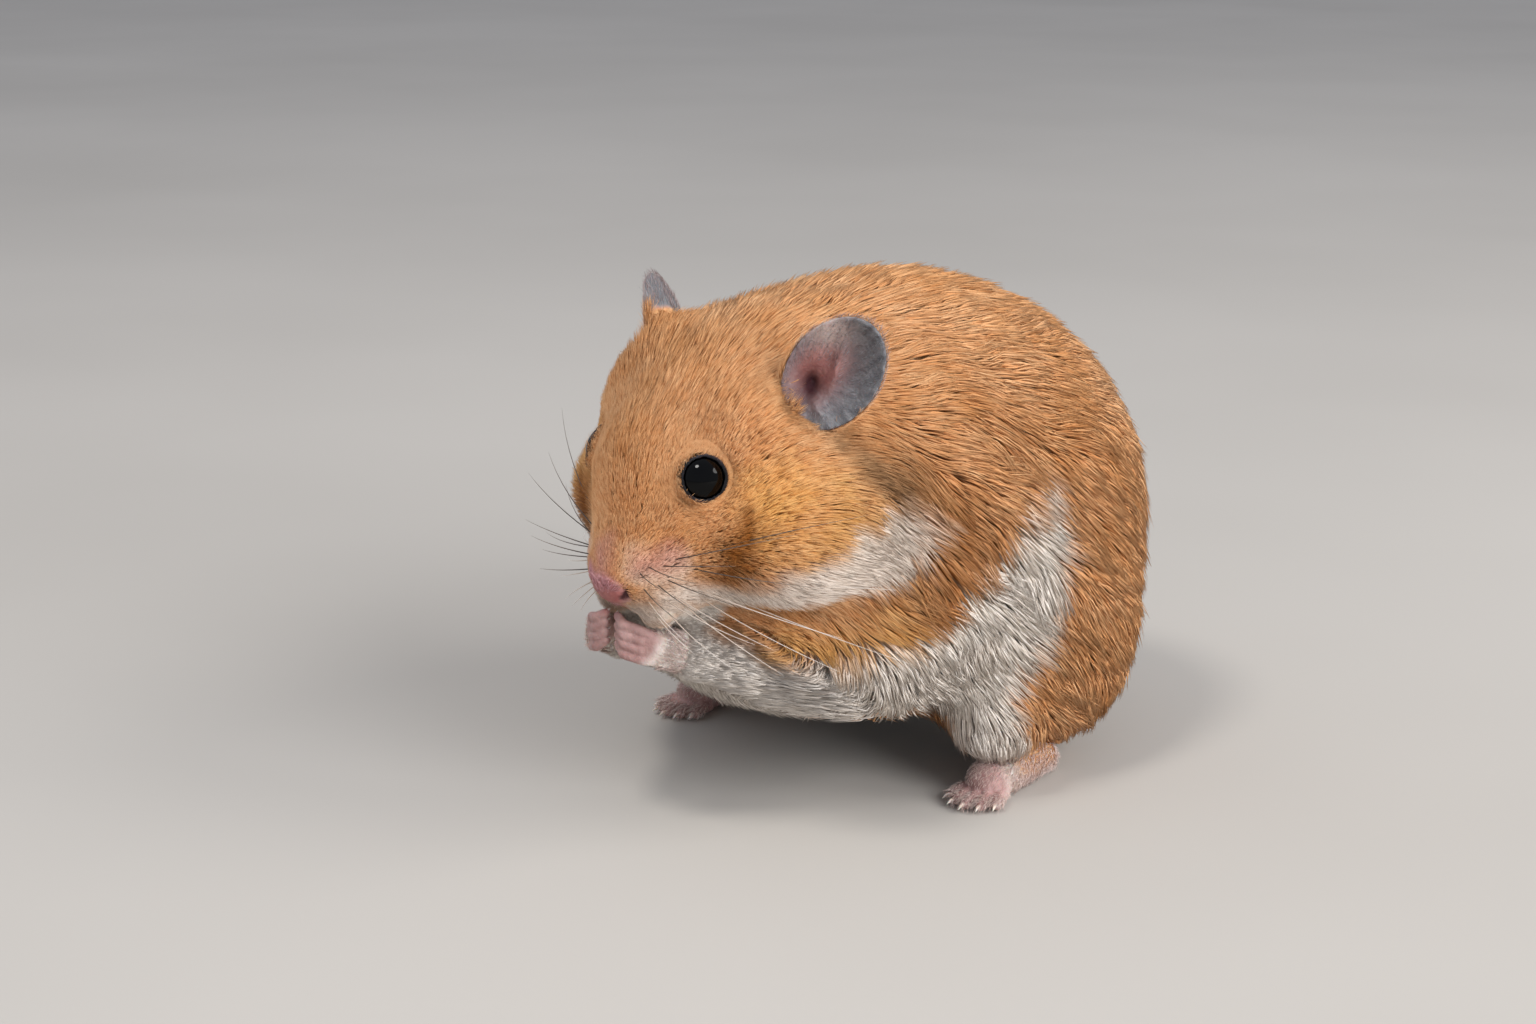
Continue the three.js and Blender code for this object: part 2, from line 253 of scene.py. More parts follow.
def spread(field, values, centre, reach, shape):
    """Replaces the values in a box round a point by shape(values, points)."""
    inside = [np.nonzero(np.abs(field.axis(a) - centre[a]) <= reach)[0] for a in range(3)]
    cut = tuple(slice(i[0], i[-1] + 1) for i in inside)
    points = np.stack(np.meshgrid(*[field.axis(a)[cut[a]] for a in range(3)], indexing="ij"), axis=-1)
    values[cut] = shape(values[cut], points)


# Ears: thin cups whose hollow leads into the head in front and below.
EAR_WIDTH = 12
EAR_LENGTH = 17
EAR_DEPTH = 3.2
EAR_BASE = [15.8, 14.8, 1.5]
EAR_RISE = [0.5, 0.68, 0.53]
EAR_OPENINGS = {1: [0.62, -0.69, 0.38], -1: [0.9, -0.24, 0.36]}  # the right ear is turned further out
EAR_BURIED = 0.14  # the share of its length that lies in the head
EAR_RIM = 0.93  # the hollow's share of the half width
EAR_REACH = 11.5
CANAL = (0.26, -0.5)  # shares of the half width and the half length
CANAL_TURN = 0.6


def ear_frame(sign):
    """An ear's centre, and its ways to the front, to its tip and out of its hollow."""
    rise = head_way(mirrored(EAR_RISE, sign))
    across = unit(np.cross(rise, head_way(mirrored(EAR_OPENINGS[sign], sign))))
    centre = from_head(mirrored(EAR_BASE, sign)) + rise * EAR_LENGTH * (0.5 - EAR_BURIED)
    return centre, across * -sign, rise, np.cross(across, rise)


def ear_place(points, sign):
    """A point's share of the ear's half width and half length, and its height over the hollow, in mm."""
    centre, forward, rise, opening = ear_frame(sign)
    away = points - centre
    return away @ forward / (EAR_WIDTH / 2), away @ rise / (EAR_LENGTH / 2), away @ opening


def bump(u, w, at, spread, turn=0.0):
    """A smooth hump of height 1 on the ear's own plane."""
    du, dw = u - at[0], w - at[1]
    c, s = math.cos(turn), math.sin(turn)
    return np.exp(-((du * c + dw * s) / spread[0]) ** 2 - ((dw * c - du * s) / spread[1]) ** 2)


def ear_cup(u, w):
    """Height of the floor of the hollow, with the canal, two folds and an inner ridge."""
    r2 = u * u + w * w
    canal = 2.4 * bump(u, w, CANAL, (0.34, 0.2), CANAL_TURN)
    fold = bump(u, w, (0.02, 0.02), (0.1, 0.42), -0.5) + 1.1 * bump(u, w, (-0.12, -0.62), (0.4, 0.1), 0.1)
    inner = 0.5 * bump(u, w, (0.62, 0.25), (0.1, 0.45), -0.3)
    return -EAR_DEPTH * (1 - r2) - canal + fold + inner


def ear_hollow(points, sign):
    """Distance to the open space of an ear, negative inside."""
    u, w, v = ear_place(points, sign)
    rim = (np.hypot(u, w) - EAR_RIM + 0.04 * np.maximum(v, 0)) * EAR_WIDTH / 2
    return np.maximum.reduce([ear_cup(u, w) - v, rim, v - 7, (-0.82 - w) * EAR_LENGTH / 2])


coarse = Field(COARSE)
coat_tips = closed_union(FURRED, coarse, TIPS_REACH)
for side, sign in SIDES.items():
    def flatten(part, points, eye=EYES[side], way=eye_way(sign)):
        away = points - eye
        near = np.linalg.norm(away, axis=-1) < 5.0
        return np.where(near, np.maximum(part, away @ way - EYE_RISE), part)

    spread(coarse, coat_tips, EYES[side], EYE_REACH, flatten)
coat_tips = blur(coat_tips, 1.0)
for side, sign in SIDES.items():
    def open_ear(part, points, sign=sign):
        return smooth_max(part, -ear_hollow(points, sign) - 0.3, 1.0)

    spread(coarse, coat_tips, ear_frame(sign)[0], EAR_REACH, open_ear)

# The edge of the cheek, from behind the ear down and round under the mouth, in the head's frame.
CHEEK_EDGE = [[19.5, 17, -2.9], [22.3, 20.9, -9.2], [25.7, 21.4, -16.4], [27.3, 19.6, -22.2],
              [28, 15.1, -25.2], [27, 8.4, -25], [23.2, 2.4, -23.2], [18.5, -1.7, -21.4],
              [12.2, -5.1, -19.1], [8.5, -7.3, -17.1]]
EDGE_RADII = [0.6, 1.1, 1.4, 1.5, 1.5, 1.6, 1.7, 1.7, 1.4, 0.8]
EDGE_SOFTNESS = 3.0
EDGE_REACH = 26.0


def settled(points):
    """Points moved onto the tips of the coat."""
    for _ in range(4):
        ahead = np.stack([coarse.sample(coat_tips, points + step) for step in np.eye(3)], axis=-1)
        here = coarse.sample(coat_tips, points)
        points = points - unit(ahead - here[:, None]) * here[:, None]
    return points


for sign in SIDES.values():
    line = settled(from_head(mirrored(CHEEK_EDGE, sign)))

    def crease(part, points, line=line):
        return smooth_max(part, -chain(points, line, EDGE_RADII), EDGE_SOFTNESS)

    spread(coarse, coat_tips, line.mean(axis=0), EDGE_REACH, crease)

# The left arm and hand, measured from the plane that the two hands mirror each other across.
HAND_MIDDLE = -3.5
ELBOW = [15, -17, 19]  # from the body's own middle
WRIST = [6.4, -34.4, 24.4]
PALM = [5, -37, 27]


def hand_point(sign, p):
    return from_body([HAND_MIDDLE + sign * p[0], p[1], p[2]])


NOSE_TIP = from_head([0, -15.5, -9.5])
EAR_ROOT = [17.5, 14, 3.5]

# The depth of the coat: each spot, its least depth, and how fast it deepens away from there.
THIN_SPOTS = [(NOSE_TIP, 0.15, 0.09), (from_head([0, -10, -17]), 0.6, 0.12)]
for side, sign in SIDES.items():
    THIN_SPOTS += [
        (EYES[side], 0.2, 0.16),
        (from_head(mirrored(EAR_ROOT, sign)), 0.7, 0.2),
        (hand_point(sign, WRIST), 0.4, 0.12),
        (from_body([sign * 27, 3, 4]), 0.5, 0.22),
    ]
BODY_DEPTH = 3.1


def coat_depth(points):
    """From the skin to the tips of the coat, thinning towards the floor."""
    depth = np.full(points.shape[:-1], BODY_DEPTH)
    for spot, least, slope in THIN_SPOTS:
        depth = smooth_min(depth, least + slope * far_from(points, spot), 1.0)
    return smooth_min(depth, 1.4 + 0.28 * points[..., 2], 1.0)


all_points = np.stack(np.meshgrid(*[coarse.axis(a) for a in range(3)], indexing="ij"), axis=-1)
under_coat = blur((coat_tips + coat_depth(all_points)).astype(np.float32), 1.2)
del all_points


# ---------- The skin: one closed surface for all the flesh ----------

def refined(values, field, fine):
    """The values of one grid at the places of a finer one."""
    for a in range(3):
        at = np.clip(fine.axis(a) / field.step - field.start[a], 0, values.shape[a] - 1.001)
        base = at.astype(int)
        f = (at - base).astype(np.float32).reshape([-1 if k == a else 1 for k in range(3)])
        values = values.take(base, axis=a) * (1 - f) + values.take(base + 1, axis=a) * f
    return values


def reached(origin, way, field=coarse, values=under_coat):
    """Where a ray in the head's frame comes out of the skin."""
    line = from_head(origin) + np.arange(0, 30, 0.05)[:, None] * head_way(way)
    return line[np.nonzero(field.sample(values, line) > 0)[0][0]]


skin_field = Field(FINE)
skin_values = refined(under_coat, coarse, skin_field)

LID_RADIUS = 2.72
LID_THICKNESS = 0.22
EYE_CLEARANCE = 0.06
LID_RISE = math.sqrt((EYE_RADIUS + LID_THICKNESS * 0.6) ** 2 - LID_RADIUS**2)
for side, sign in SIDES.items():
    def lids(part, points, eye=EYES[side], way=eye_way(sign)):
        away = points - eye
        along = away @ way
        out = far_from(away, along[..., None] * way)
        corner = 1 + 0.13 * np.exp(-((unit(away) @ head_way([-0.25 * sign, -0.75, -0.6]) - 0.75) / 0.22) ** 2)
        edge = LID_RADIUS * corner
        ring = np.hypot(out - edge, along - LID_RISE) - LID_THICKNESS
        distance = np.linalg.norm(away, axis=-1)
        cover = np.maximum(distance - EYE_RADIUS - LID_THICKNESS, along - LID_RISE)
        part = smooth_min(smooth_min(part, cover, 1.4), ring, 0.2)
        return smooth_max(part, EYE_RADIUS + EYE_CLEARANCE - distance, 0.12)

    spread(skin_field, skin_values, EYES[side], EYE_REACH, lids)

# Nose, nostrils, the groove under the nose and the line of the mouth.
MUZZLE = from_head([0, -12, -12.5])
MUZZLE_REACH = 9.0
NOSTRIL_PLACES = [(2.7, -9.6), (3.5, -9.2), (4.0, -8.3)]  # left and up, in the head's frame
NOSTRIL_RADII = [0.3, 0.5, 0.3]
GROOVE_HEIGHTS = [-10.6, -11.4, -12.4, -13.4, -14.4]
GROOVE_RADIUS = 0.22
MOUTH_TURNS = np.radians([0, 15, 30, 45, 58])  # out from the front
MOUTH_RADIUS = 0.4


def nose_pad(part, points):
    q = in_head(points)
    pad = np.linalg.norm((q - [0, -13.6, -8.6]) / [2.9, 1.9, 2.4], axis=-1) * 2.2 - 2.2
    lobes = [far_from(q, [s * 4.6, -11.0, -13.2]) - 2.9 for s in (1, -1)]
    return smooth_min(smooth_min(part, pad, 1.8), smooth_min(*lobes, 0.8), 1.6)


spread(skin_field, skin_values, MUZZLE, MUZZLE_REACH, nose_pad)


def emerging(origin, way):
    return reached(origin, way, skin_field, skin_values)


nostrils = {s: [emerging([s * x, -8, z], [0.04 * s, -1, 0]) for x, z in NOSTRIL_PLACES] for s in (1, -1)}
groove = [emerging([0, -8, z], [0, -1, -0.05]) for z in GROOVE_HEIGHTS]
mouth = {s: [emerging([0, -5, -15.2], [s * math.sin(t), -math.cos(t), -0.02]) for t in MOUTH_TURNS]
         for s in (1, -1)}


def muzzle(part, points):
    for s in (1, -1):
        part = smooth_max(part, -chain(points, nostrils[s], NOSTRIL_RADII), 0.25)
        part = smooth_max(part, -chain(points, mouth[s], [MOUTH_RADIUS] * len(mouth[s])), 0.5)
    return smooth_max(part, -chain(points, groove, [GROOVE_RADIUS] * len(groove)), 0.3)


spread(skin_field, skin_values, MUZZLE, MUZZLE_REACH, muzzle)

# Hands: four fingers each, curled in towards the other hand.
HAND_REACH = 9.5
FINGER_PITCH = 1.36
FINGER_RADIUS = 0.68
FINGERTIP_RADIUS = 0.58
fingers = {}


def hand_form(points, side):
    """Distance to a hand: palm and fingers, kept clear of the other hand."""
    sign = SIDES[side]
    form = capsule(points, hand_point(sign, WRIST), hand_point(sign, PALM) - [0, 0, 1.2], 2.6, 2.1)
    digits = 9.0
    for *joints, _ in fingers[side]:
        radii = [FINGER_RADIUS + 0.1, FINGER_RADIUS, FINGER_RADIUS, FINGERTIP_RADIUS]
        digit = chain(points, joints, radii)
        digits = smooth_min(digits, digit, 0.16)
    form = smooth_min(form, digits, 0.7)
    return np.maximum(form, 0.14 - sign * (points[..., 0] - HAND_MIDDLE - BODY[0]))


for side, sign in SIDES.items():
    wrist, palm = hand_point(sign, WRIST), hand_point(sign, PALM)
    fingers[side] = []
    for k in range(4):
        lift = FINGER_PITCH * (k - 1.5)
        fingers[side].append([hand_point(sign, p) for p in (
            [6.8, -36.8, 24.8 + lift * 0.6], [4.6, -39.3, 26.0 + lift], [2.5, -40.6, 26.7 + lift],
            [1.1, -40.2, 27.6 + lift * 0.95], [0.7, -39.7, 28.2 + lift * 0.95])])

    def hand(part, points, side=side, wrist=wrist):
        merging = 0.2 + 1.2 * (1 - ramp(far_from(points, wrist), 3, 6))
        return smooth_min(part, hand_form(points, side), merging)

    spread(skin_field, skin_values, palm, HAND_REACH, hand)

# Feet: a sole from heel to ball, and five toes.
FOOT_OUT = math.radians(5)
HEEL = [26.5, 14, 2.4]
FOOT_LENGTH = 13
FOOT_REACH = 22.0
TOE_LENGTHS = [3.6, 5, 5.6, 5, 3.6]
TOE_PITCH = 1.15
TOE_SPREAD = 0.17
TOE_RADII = [1.1, 0.95, 0.8]
toes = {}
for side, sign in SIDES.items():
    heel = from_body(mirrored(HEEL, sign))
    forward = np.array([sign * math.sin(FOOT_OUT), -math.cos(FOOT_OUT), 0])
    outward = np.array([math.cos(FOOT_OUT), sign * math.sin(FOOT_OUT), 0])
    ball = heel + forward * FOOT_LENGTH
    toes[side] = []
    for k, length in zip(range(-2, 3), TOE_LENGTHS):
        root = ball + outward * TOE_PITCH * k
        root[2] = 1.1
        way = unit(forward + outward * TOE_SPREAD * k)
        tip = root + way * length
        tip[2] = 0.85
        toes[side].append((root, tip, way))

    def foot(part, points, heel=heel, ball=ball, toes=toes[side]):
        form = capsule(points, heel, ball, 2.6, 2.9)
        for root, tip, way in toes:
            knuckle = (root + tip) / 2 + [0, 0, 0.25]
            form = smooth_min(form, chain(points, [root, knuckle, tip], TOE_RADII), 0.25)
        return smooth_min(part, form, 0.8)

    spread(skin_field, skin_values, ball, FOOT_REACH, foot)

for side, sign in SIDES.items():
    def ear(part, points, sign=sign):
        u, w, v = ear_place(points, sign)
        r = np.hypot(u, w)
        thick = 0.62 + 0.7 * ramp(-w, 0.1, 0.9)
        steep = np.sqrt(1 + (0.9 * r) ** 2)
        shell = np.abs(v - ear_cup(u, w) + thick / 2) / steep - thick / 2
        form = smooth_max(shell, (r - 0.99) * 6.8, 0.45)
        part = smooth_max(part, -ear_hollow(points, sign), 0.8)
        return smooth_min(part, form, 0.6)

    spread(skin_field, skin_values, ear_frame(sign)[0], EAR_REACH, ear)

TAIL = [from_body([0, 44, 15]), from_body([0, 48, 14]), from_body([0, 55, 10])]
TAIL_RADII = [2.6, 2.2, 1.0]
TAIL_REACH = 14.0
LOWEST_SKIN = 0.12


def tail(part, points):
    return smooth_min(part, chain(points, TAIL, TAIL_RADII), 1.5)


spread(skin_field, skin_values, TAIL[1], TAIL_REACH, tail)
skin_values = np.maximum(skin_values, LOWEST_SKIN - skin_field.axis(2)[None, None, :].astype(np.float32))


def placed(name, data):
    thing = bpy.data.objects.new(name, data)
    bpy.context.scene.collection.objects.link(thing)
    return thing


def new_mesh(name, points, faces):
    """A piece from points in millimetres and lists of faces, each an array of triangles or quads."""
    mesh = bpy.data.meshes.new(name)
    mesh.vertices.add(len(points))
    mesh.vertices.foreach_set("co", (np.asarray(points) * MM).astype(np.float32).ravel())
    faces = [f for f in faces if len(f)]
    corners = np.concatenate([f.ravel() for f in faces])
    sizes = np.concatenate([np.full(len(f), f.shape[1]) for f in faces])
    mesh.loops.add(len(corners))
    mesh.loops.foreach_set("vertex_index", corners.astype(np.int32))
    mesh.polygons.add(len(sizes))
    mesh.polygons.foreach_set("loop_start", (np.cumsum(sizes) - sizes).astype(np.int32))
    mesh.update(calc_edges=True)
    mesh.shade_smooth()
    return placed(name, mesh)


def new_attribute(piece, name, values):
    attribute = piece.data.attributes.new(name, "FLOAT", "POINT")
    attribute.data.foreach_set("value", np.asarray(values, np.float32))


limit = 3 * FINE
skin_grid = skin_field.grid(np.clip(skin_values, -limit, limit).astype(np.float32), limit, tolerance=1e-4)
points, triangles, quads = skin_grid.convertToPolygons(isovalue=0, adaptivity=0.25)
skin = new_mesh("skin", points, [triangles, quads])


# ---------- Markings ----------

def band(points, stops, radii, soft):
    """1 inside a chain of balls, 0 outside, with an edge of the given width."""
    stops = [np.asarray(stop, float) for stop in stops]
    return 1 - ramp(chain(points, stops, radii), -soft, soft)


def wobble(points, size, seed):
    """Smooth noise of about -1 to 1, with waves of about the given size."""
    waves = np.random.default_rng(seed)
    total = 0
    for _ in range(7):
        way = unit(waves.normal(size=3)) * 2 * math.pi / size * (0.6 + 0.8 * waves.random())
        total = total + np.sin(points @ way + waves.random() * 2 * math.pi)
    return total / 2.2


# In the head's frame, on its left side.
CHEEK_WHITE = [[9.6, -10.5, -11.5], [15, -6.2, -14.5], [21, -3, -15.5], [25.5, 1.5, -15.5],
               [26.7, 7.5, -17], [26.5, 14.5, -18.5], [26.3, 18.5, -18.5]]
CHEEK_WHITE_RADII = [2.4, 2.6, 3.6, 4.4, 5.2, 5.2, 3.5]
LIPS_WHITE = [[3.5, -14, -12.5], [7, -12, -12], [10, -9.5, -12.8], [12, -7, -15]]
LIPS_WHITE_RADII = [1.6, 2.4, 2.8, 2.0]
# The lower part of the cheek's edge, along which painted shade darkens the coat.
CREASE_SHADE_LINE = CHEEK_EDGE[3:]
CHEEK_SPOT = [[18.3, -1.6, -2.6], [17.6, -2.6, -5.4], [16.4, -4.6, -7.6], [17.8, -4.2, -9.2]]
EAR_PATCH = [[20.6, 16, -3.9], [23.7, 18, -8.9], [24.6, 20, -15]]
SHOULDER = [[26, 25, -18.4], [27.5, 23.6, -24.6], [28, 12, -30]]
CHEEK_GOLD = [[18, 4, -6.5], [21.5, 7, -10]]
JOWL_GOLD = [[15, -4, -25], [23, 1, -27.5], [27, 8, -29]]
MUZZLE_PALE = [[5.4, -11.5, -5.6], [6.6, -11.5, -8.2], [9.0, -9.0, -8.8]]
WHISKER_PAD = [[6.4, -11.2, -6.4], [8.2, -8.8, -6.4]]
BRIDGE = [[0, -14.5, -6.6], [0, -11.5, -3.6]]
# In the part's frame, on its left side.
FLANK_WHITE = [[31.7, 4.4, 42.5], [33, 2.4, 36.5], [33, -1.6, 30], [31.3, -7.2, 24],
               [29, -14, 18], [24, -24, 17], [13.7, -28.8, 14.9], [7, -38.9, 19.5]]
FLANK_WHITE_RADII = [1.0, 4.0, 6.8, 8.6, 9.0, 8.0, 7.5, 6]
CHEST_WHITE = [[0, -24, 8], [0, -34, 14], [0, -42, 24], [7, -41, 22.5], [12, -36, 18]]
UNDERSIDE = [[0, -20, 0], [0, 25, -2]]
LEG_WHITE = [[28, -12, 16], [30, -10.5, 10], [29, -7, 4]]


def markings(points):
    """Shares of each colour at points of the coat, with painted shade as a dark band along the cheek's
    crease.
    """
    points = points + 0.8 * np.stack([wobble(points, 6, k) for k in (1, 2, 3)], axis=-1)
    q = in_head(points)
    q[..., 0] = np.abs(q[..., 0])
    m = points - [BODY[0], 0, 0]
    m[..., 0] = np.abs(m[..., 0])
    white = np.maximum.reduce([
        0.84 * band(q, CHEEK_WHITE, CHEEK_WHITE_RADII, 2.0),
        0.76 * band(q, LIPS_WHITE, LIPS_WHITE_RADII, 1.6),
        0.5 * band(q, MUZZLE_PALE, [1.4, 2.0, 2.2], 2.2),
        band(q, [[0, -9, -17], [6, -9, -17]], [5.0, 4.0], 1.5),
        band(m, FLANK_WHITE, FLANK_WHITE_RADII, 2.2),
        band(m, CHEST_WHITE, [10, 9, 7, 6, 6], 2.0),
        band(m, UNDERSIDE, [17, 15], 3.0),
        band(m, LEG_WHITE, [8, 7.5, 6.5], 2.0),
    ])
    # Dark under-hair behind the ear, and painted shade as a dark band along the crease under the cheek.
    dark = np.maximum.reduce([
        0.95 * band(q, EAR_PATCH, [1.8, 3.2, 2.6], 3.0),
        0.55 * band(q, CREASE_SHADE_LINE, [0.6] * len(CREASE_SHADE_LINE), 1.6),
    ])
    brown = np.maximum(0.95 * band(q, CHEEK_SPOT, [1.2, 2.2, 2.6, 2.0], 2.2),
                       0.65 * band(q, SHOULDER, [3.0, 4.0, 3.0], 4.0))
    gold = np.maximum(band(q, CHEEK_GOLD, [6.0, 6.0], 5.0),
                      0.8 * band(q, JOWL_GOLD, [2.5, 3.0, 3.0], 3.0))
    pink = np.maximum.reduce([
        band(q, [[0, -14.4, -7.6], [0, -16, -10.5]], [2.9, 2.9], 1.2),
        0.45 * band(q, WHISKER_PAD, [1.4, 1.6], 1.8),
        0.6 * band(q, BRIDGE, [2.0, 1.2], 2.4),
    ])
    white, brown = white * (1 - pink), brown * (1 - white)
    return {"white": white, "dark": dark, "brown": brown, "gold": gold, "pink": pink}


# ---------- The coat ----------

slope = [np.ascontiguousarray(g) for g in np.gradient(blur(under_coat, 1.0), COARSE)]


def normals_at(points):
    return unit(np.stack([coarse.sample(g, points) for g in slope], axis=-1))


def head_reach(points):
    """Distance from the nose, let out below the jaw, where the coat is the body's."""
    drop = np.maximum(0, -19 - in_head(points)[..., 2])
    return far_from(points, NOSE_TIP) + 1.5 * drop


BODY_LENGTH = 8.4
NECK = (26, 48)  # the reaches over which the head's short coat grows into the body's


def coat_length(points):
    reach = head_reach(points)
    q = np.abs(in_head(points)) * [1, 0, 0] + in_head(points) * [0, 1, 1]
    length = 0.9 + 0.09 * reach + 1.6 * band(q, CHEEK_WHITE[3:], [4.5, 5.0, 5.0, 4.0], 3.0)
    length = length + (BODY_LENGTH - length) * ramp(reach, *NECK)
    for side, sign in SIDES.items():
        for spot, least, steep in ((EYES[side], 0.55, 0.24), (hand_point(sign, PALM), 0.5, 0.3),
                                   (from_body([sign * 27, 2, 0]), 1.5, 0.5),
                                   (from_head(mirrored(EAR_ROOT, sign)), 1.5, 0.3)):
            length = smooth_min(length, least + steep * far_from(points, spot), 0.8)
    return length


ANKLE, SOLE = [26.5, 4, 7], [27, 4, -8]
ANKLE_REACH = 9.0


def lie(points, normals):
    """The way the coat lies: back from the nose over the head, back and down over the body."""
    q = in_head(points)
    from_nose = unit(q - in_head(NOSE_TIP))
    from_nose[..., 2] -= 0.35 * (ramp(np.abs(q[..., 0]), 8, 18) * ramp(-q[..., 2], 0, 12))
    down = 0.3 + 1.1 * ramp(66 - points[..., 2], 0, 36)
    out = 0.15 * np.sign(points[..., 0]) * ramp(np.abs(points[..., 0]), 0, 12)
    body_flow = unit(np.stack([out, np.ones_like(down), -down], axis=-1))
    share = ramp(head_reach(points), 26, 44)[..., None]
    flow = unit(from_nose @ head_axes * (1 - share) + body_flow * share)
    for side, sign in SIDES.items():
        away = points - EYES[side]
        distance = np.linalg.norm(away, axis=-1, keepdims=True)
        away = away / distance
        inward = np.minimum(0, (flow * away).sum(-1, keepdims=True))
        flow = flow + (0.25 - inward) * away * (1 - ramp(distance, 4.0, 7.5))
        ankle, sole = from_body(mirrored(ANKLE, sign)), from_body(mirrored(SOLE, sign))
        distance = np.linalg.norm(points - ankle, axis=-1, keepdims=True)
        flow = flow + 1.5 * unit(sole - ankle) * (1 - ramp(distance, ANKLE_REACH * 0.6, ANKLE_REACH))
        elbow, wrist = from_body(mirrored(ELBOW, sign)), hand_point(sign, WRIST)
        arm = (1 - ramp(capsule(points, elbow, wrist, 6, 3.6), 0.5, 3.5))[..., None]
        flow = flow * (1 - arm) + unit(wrist - elbow) * arm
    flow = flow - (flow * normals).sum(-1, keepdims=True) * normals
    return unit(flow)


def turned(flow, normals, angle):
    return flow * np.cos(angle)[:, None] + np.cross(normals, flow) * np.sin(angle)[:, None]


ROOT_DEPTH = 0.25
RISES = (0.52, 0.84, 1.0)  # shares of the coat's depth that a tuft has risen to, a third of its length apart
EYE_ROOM = 3.68  # how near an eye's centre a hair may come
FLOOR_ROOM = 0.15


def grow(roots, normals, length, height, angle):
    """Each tuft's root and three more points, following the lie and the depth of the coat."""
    path = [roots - ROOT_DEPTH * normals]
    at = roots
    for rise in RISES:
        local = normals_at(at)
        flow = turned(lie(at, local), local, angle)
        at = at + flow * (length / len(RISES))[:, None]
        local = normals_at(at)
        above = coarse.sample(under_coat, at)
        near_wrist = np.minimum(*[far_from(at, hand_point(s, WRIST)) for s in (1, -1)])
        least = 0.15 + 0.35 * (1 - ramp(near_wrist, 4, 9))
        depth = np.maximum(above - coarse.sample(coat_tips, at), least)
        held = ramp(at[:, 2], 4, 9)
        at = at + local * ((rise * height * depth - above) * held)[:, None]
        at[:, 2] = np.maximum(at[:, 2], FLOOR_ROOM)
        for side in SIDES:
            away = at - EYES[side]
            distance = np.linalg.norm(away, axis=-1, keepdims=True)
            at = np.where(distance < EYE_ROOM, EYES[side] + away / distance * EYE_ROOM, at)
        path.append(at)
    return np.stack(path, axis=1)


def eye_opening(points, side, low, high):
    """1 in front of the opening between an eye's lids, falling to 0 beside it."""
    _, aside, ahead = eye_place(points, side)
    return (ahead > 0) * (1 - ramp(aside, LID_RADIUS + low, LID_RADIUS + high))


skin_points = points.astype(float)
skin_faces = np.concatenate([triangles, quads[:, :3], quads[:, [0, 2, 3]]]).astype(int)
edge_1 = skin_points[skin_faces[:, 1]] - skin_points[skin_faces[:, 0]]
edge_2 = skin_points[skin_faces[:, 2]] - skin_points[skin_faces[:, 0]]
face_cross = np.cross(edge_1, edge_2)
face_area = np.linalg.norm(face_cross, axis=1) / 2
face_middle = skin_points[skin_faces].mean(axis=1)
face_normal = face_cross / np.maximum(2 * face_area, 1e-9)[:, None]
if (face_normal * normals_at(face_middle)).sum() < 0:
    face_normal = -face_normal


def ear_share(points):
    """1 on the bare part of an ear."""
    share = 0
    for sign in SIDES.values():
        u, w, v = ear_place(points, sign)
        near = (np.hypot(u, w) < 1.12) & (np.abs(v - ear_cup(u, w)) < 1.8)
        share = np.maximum(share, near * ramp(coarse.sample(coat_tips, points), -0.5, 0.3))
        share = np.maximum(share, (v < 3.5) * (1 - ramp(ear_hollow(points, sign), 0.25, 0.5)))
    return share


def round_spot(points, spot, inner, outer):
    """1 near a spot, 0 beyond the outer distance."""
    return 1 - ramp(far_from(points, spot), inner, outer)


def bareness(points):
    """1 where no coat grows."""
    q = in_head(points)
    bare = band(q, [[-2.8, -15.0, -9.4], [2.8, -15.0, -9.4]], [1.6, 1.6], 0.6)
    bare = np.maximum(bare, ear_share(points))
    for side, sign in SIDES.items():
        hand = 1 - ramp(hand_form(points, side), 0.25, 0.5)
        bare = np.maximum.reduce([
            bare,
            eye_opening(points, side, 0.3, 0.5),
            hand * round_spot(points, hand_point(sign, [2.5, -41, 28]), 4.4, 6.6),
            round_spot(points, from_body([sign * 26, -2, 1.5]), 5.0, 7.5),
            round_spot(points, TAIL[2], 4, 6),
        ])
    return np.maximum(bare, 1 - ramp(points[..., 2], 0.3, 1.2))


def beyond_coat(points):
    """1 on hands, feet and the tail, which stand clear of the form that the coat follows."""
    out = ramp(coarse.sample(under_coat, points), 0.15, 0.5)
    limbs = [far_from(points, TAIL[2]) - 9]
    for side, sign in SIDES.items():
        limbs.append(far_from(points, from_body([sign * 26.5, 4, 2])) - 13)
        limbs.append(hand_form(points, side) - 0.5)
    return out * (np.minimum.reduce(limbs) < 0)


def scattered(density):
    """Roots spread over the skin: the face each stands on, its place there, and the point."""
    expected = np.cumsum(face_area * density)
    count = int(expected[-1])
    picks = (np.arange(count) + rng.random(count)) * expected[-1] / count
    face_of = np.minimum(np.searchsorted(expected, picks), len(skin_faces) - 1)
    a, b = rng.random(count), rng.random(count)
    folded = a + b > 1
    a[folded], b[folded] = 1 - a[folded], 1 - b[folded]
    shares = np.stack([1 - a - b, a, b], axis=1)
    return face_of, shares, (skin_points[skin_faces[face_of]] * shares[:, :, None]).sum(axis=1)


# A tuft has five points: its root, three round the bend at its middle, and its tip.
TUFT_FACES = np.array([[0, 1, 2], [0, 2, 3], [0, 3, 1], [1, 4, 2], [2, 4, 3], [3, 4, 1]])
TUFT_ALONG = np.array([0, 0.5, 0.5, 0.5, 1.0])  # how far up the tuft each point stands
RING_ANGLES = np.radians([90, 210, 330])
PATCH = 0.003
PATCH_PLACES = PATCH * np.stack([[0, -0.5, 0, 0.5, 0], TUFT_ALONG - 0.5], axis=-1)
LOWEST = 0.03  # how near the floor the coat may come

TUFT_BUDGET = 1.22e6  # triangles
face_length = coat_length(face_middle)
face_width = 0.05 + 0.025 * face_length
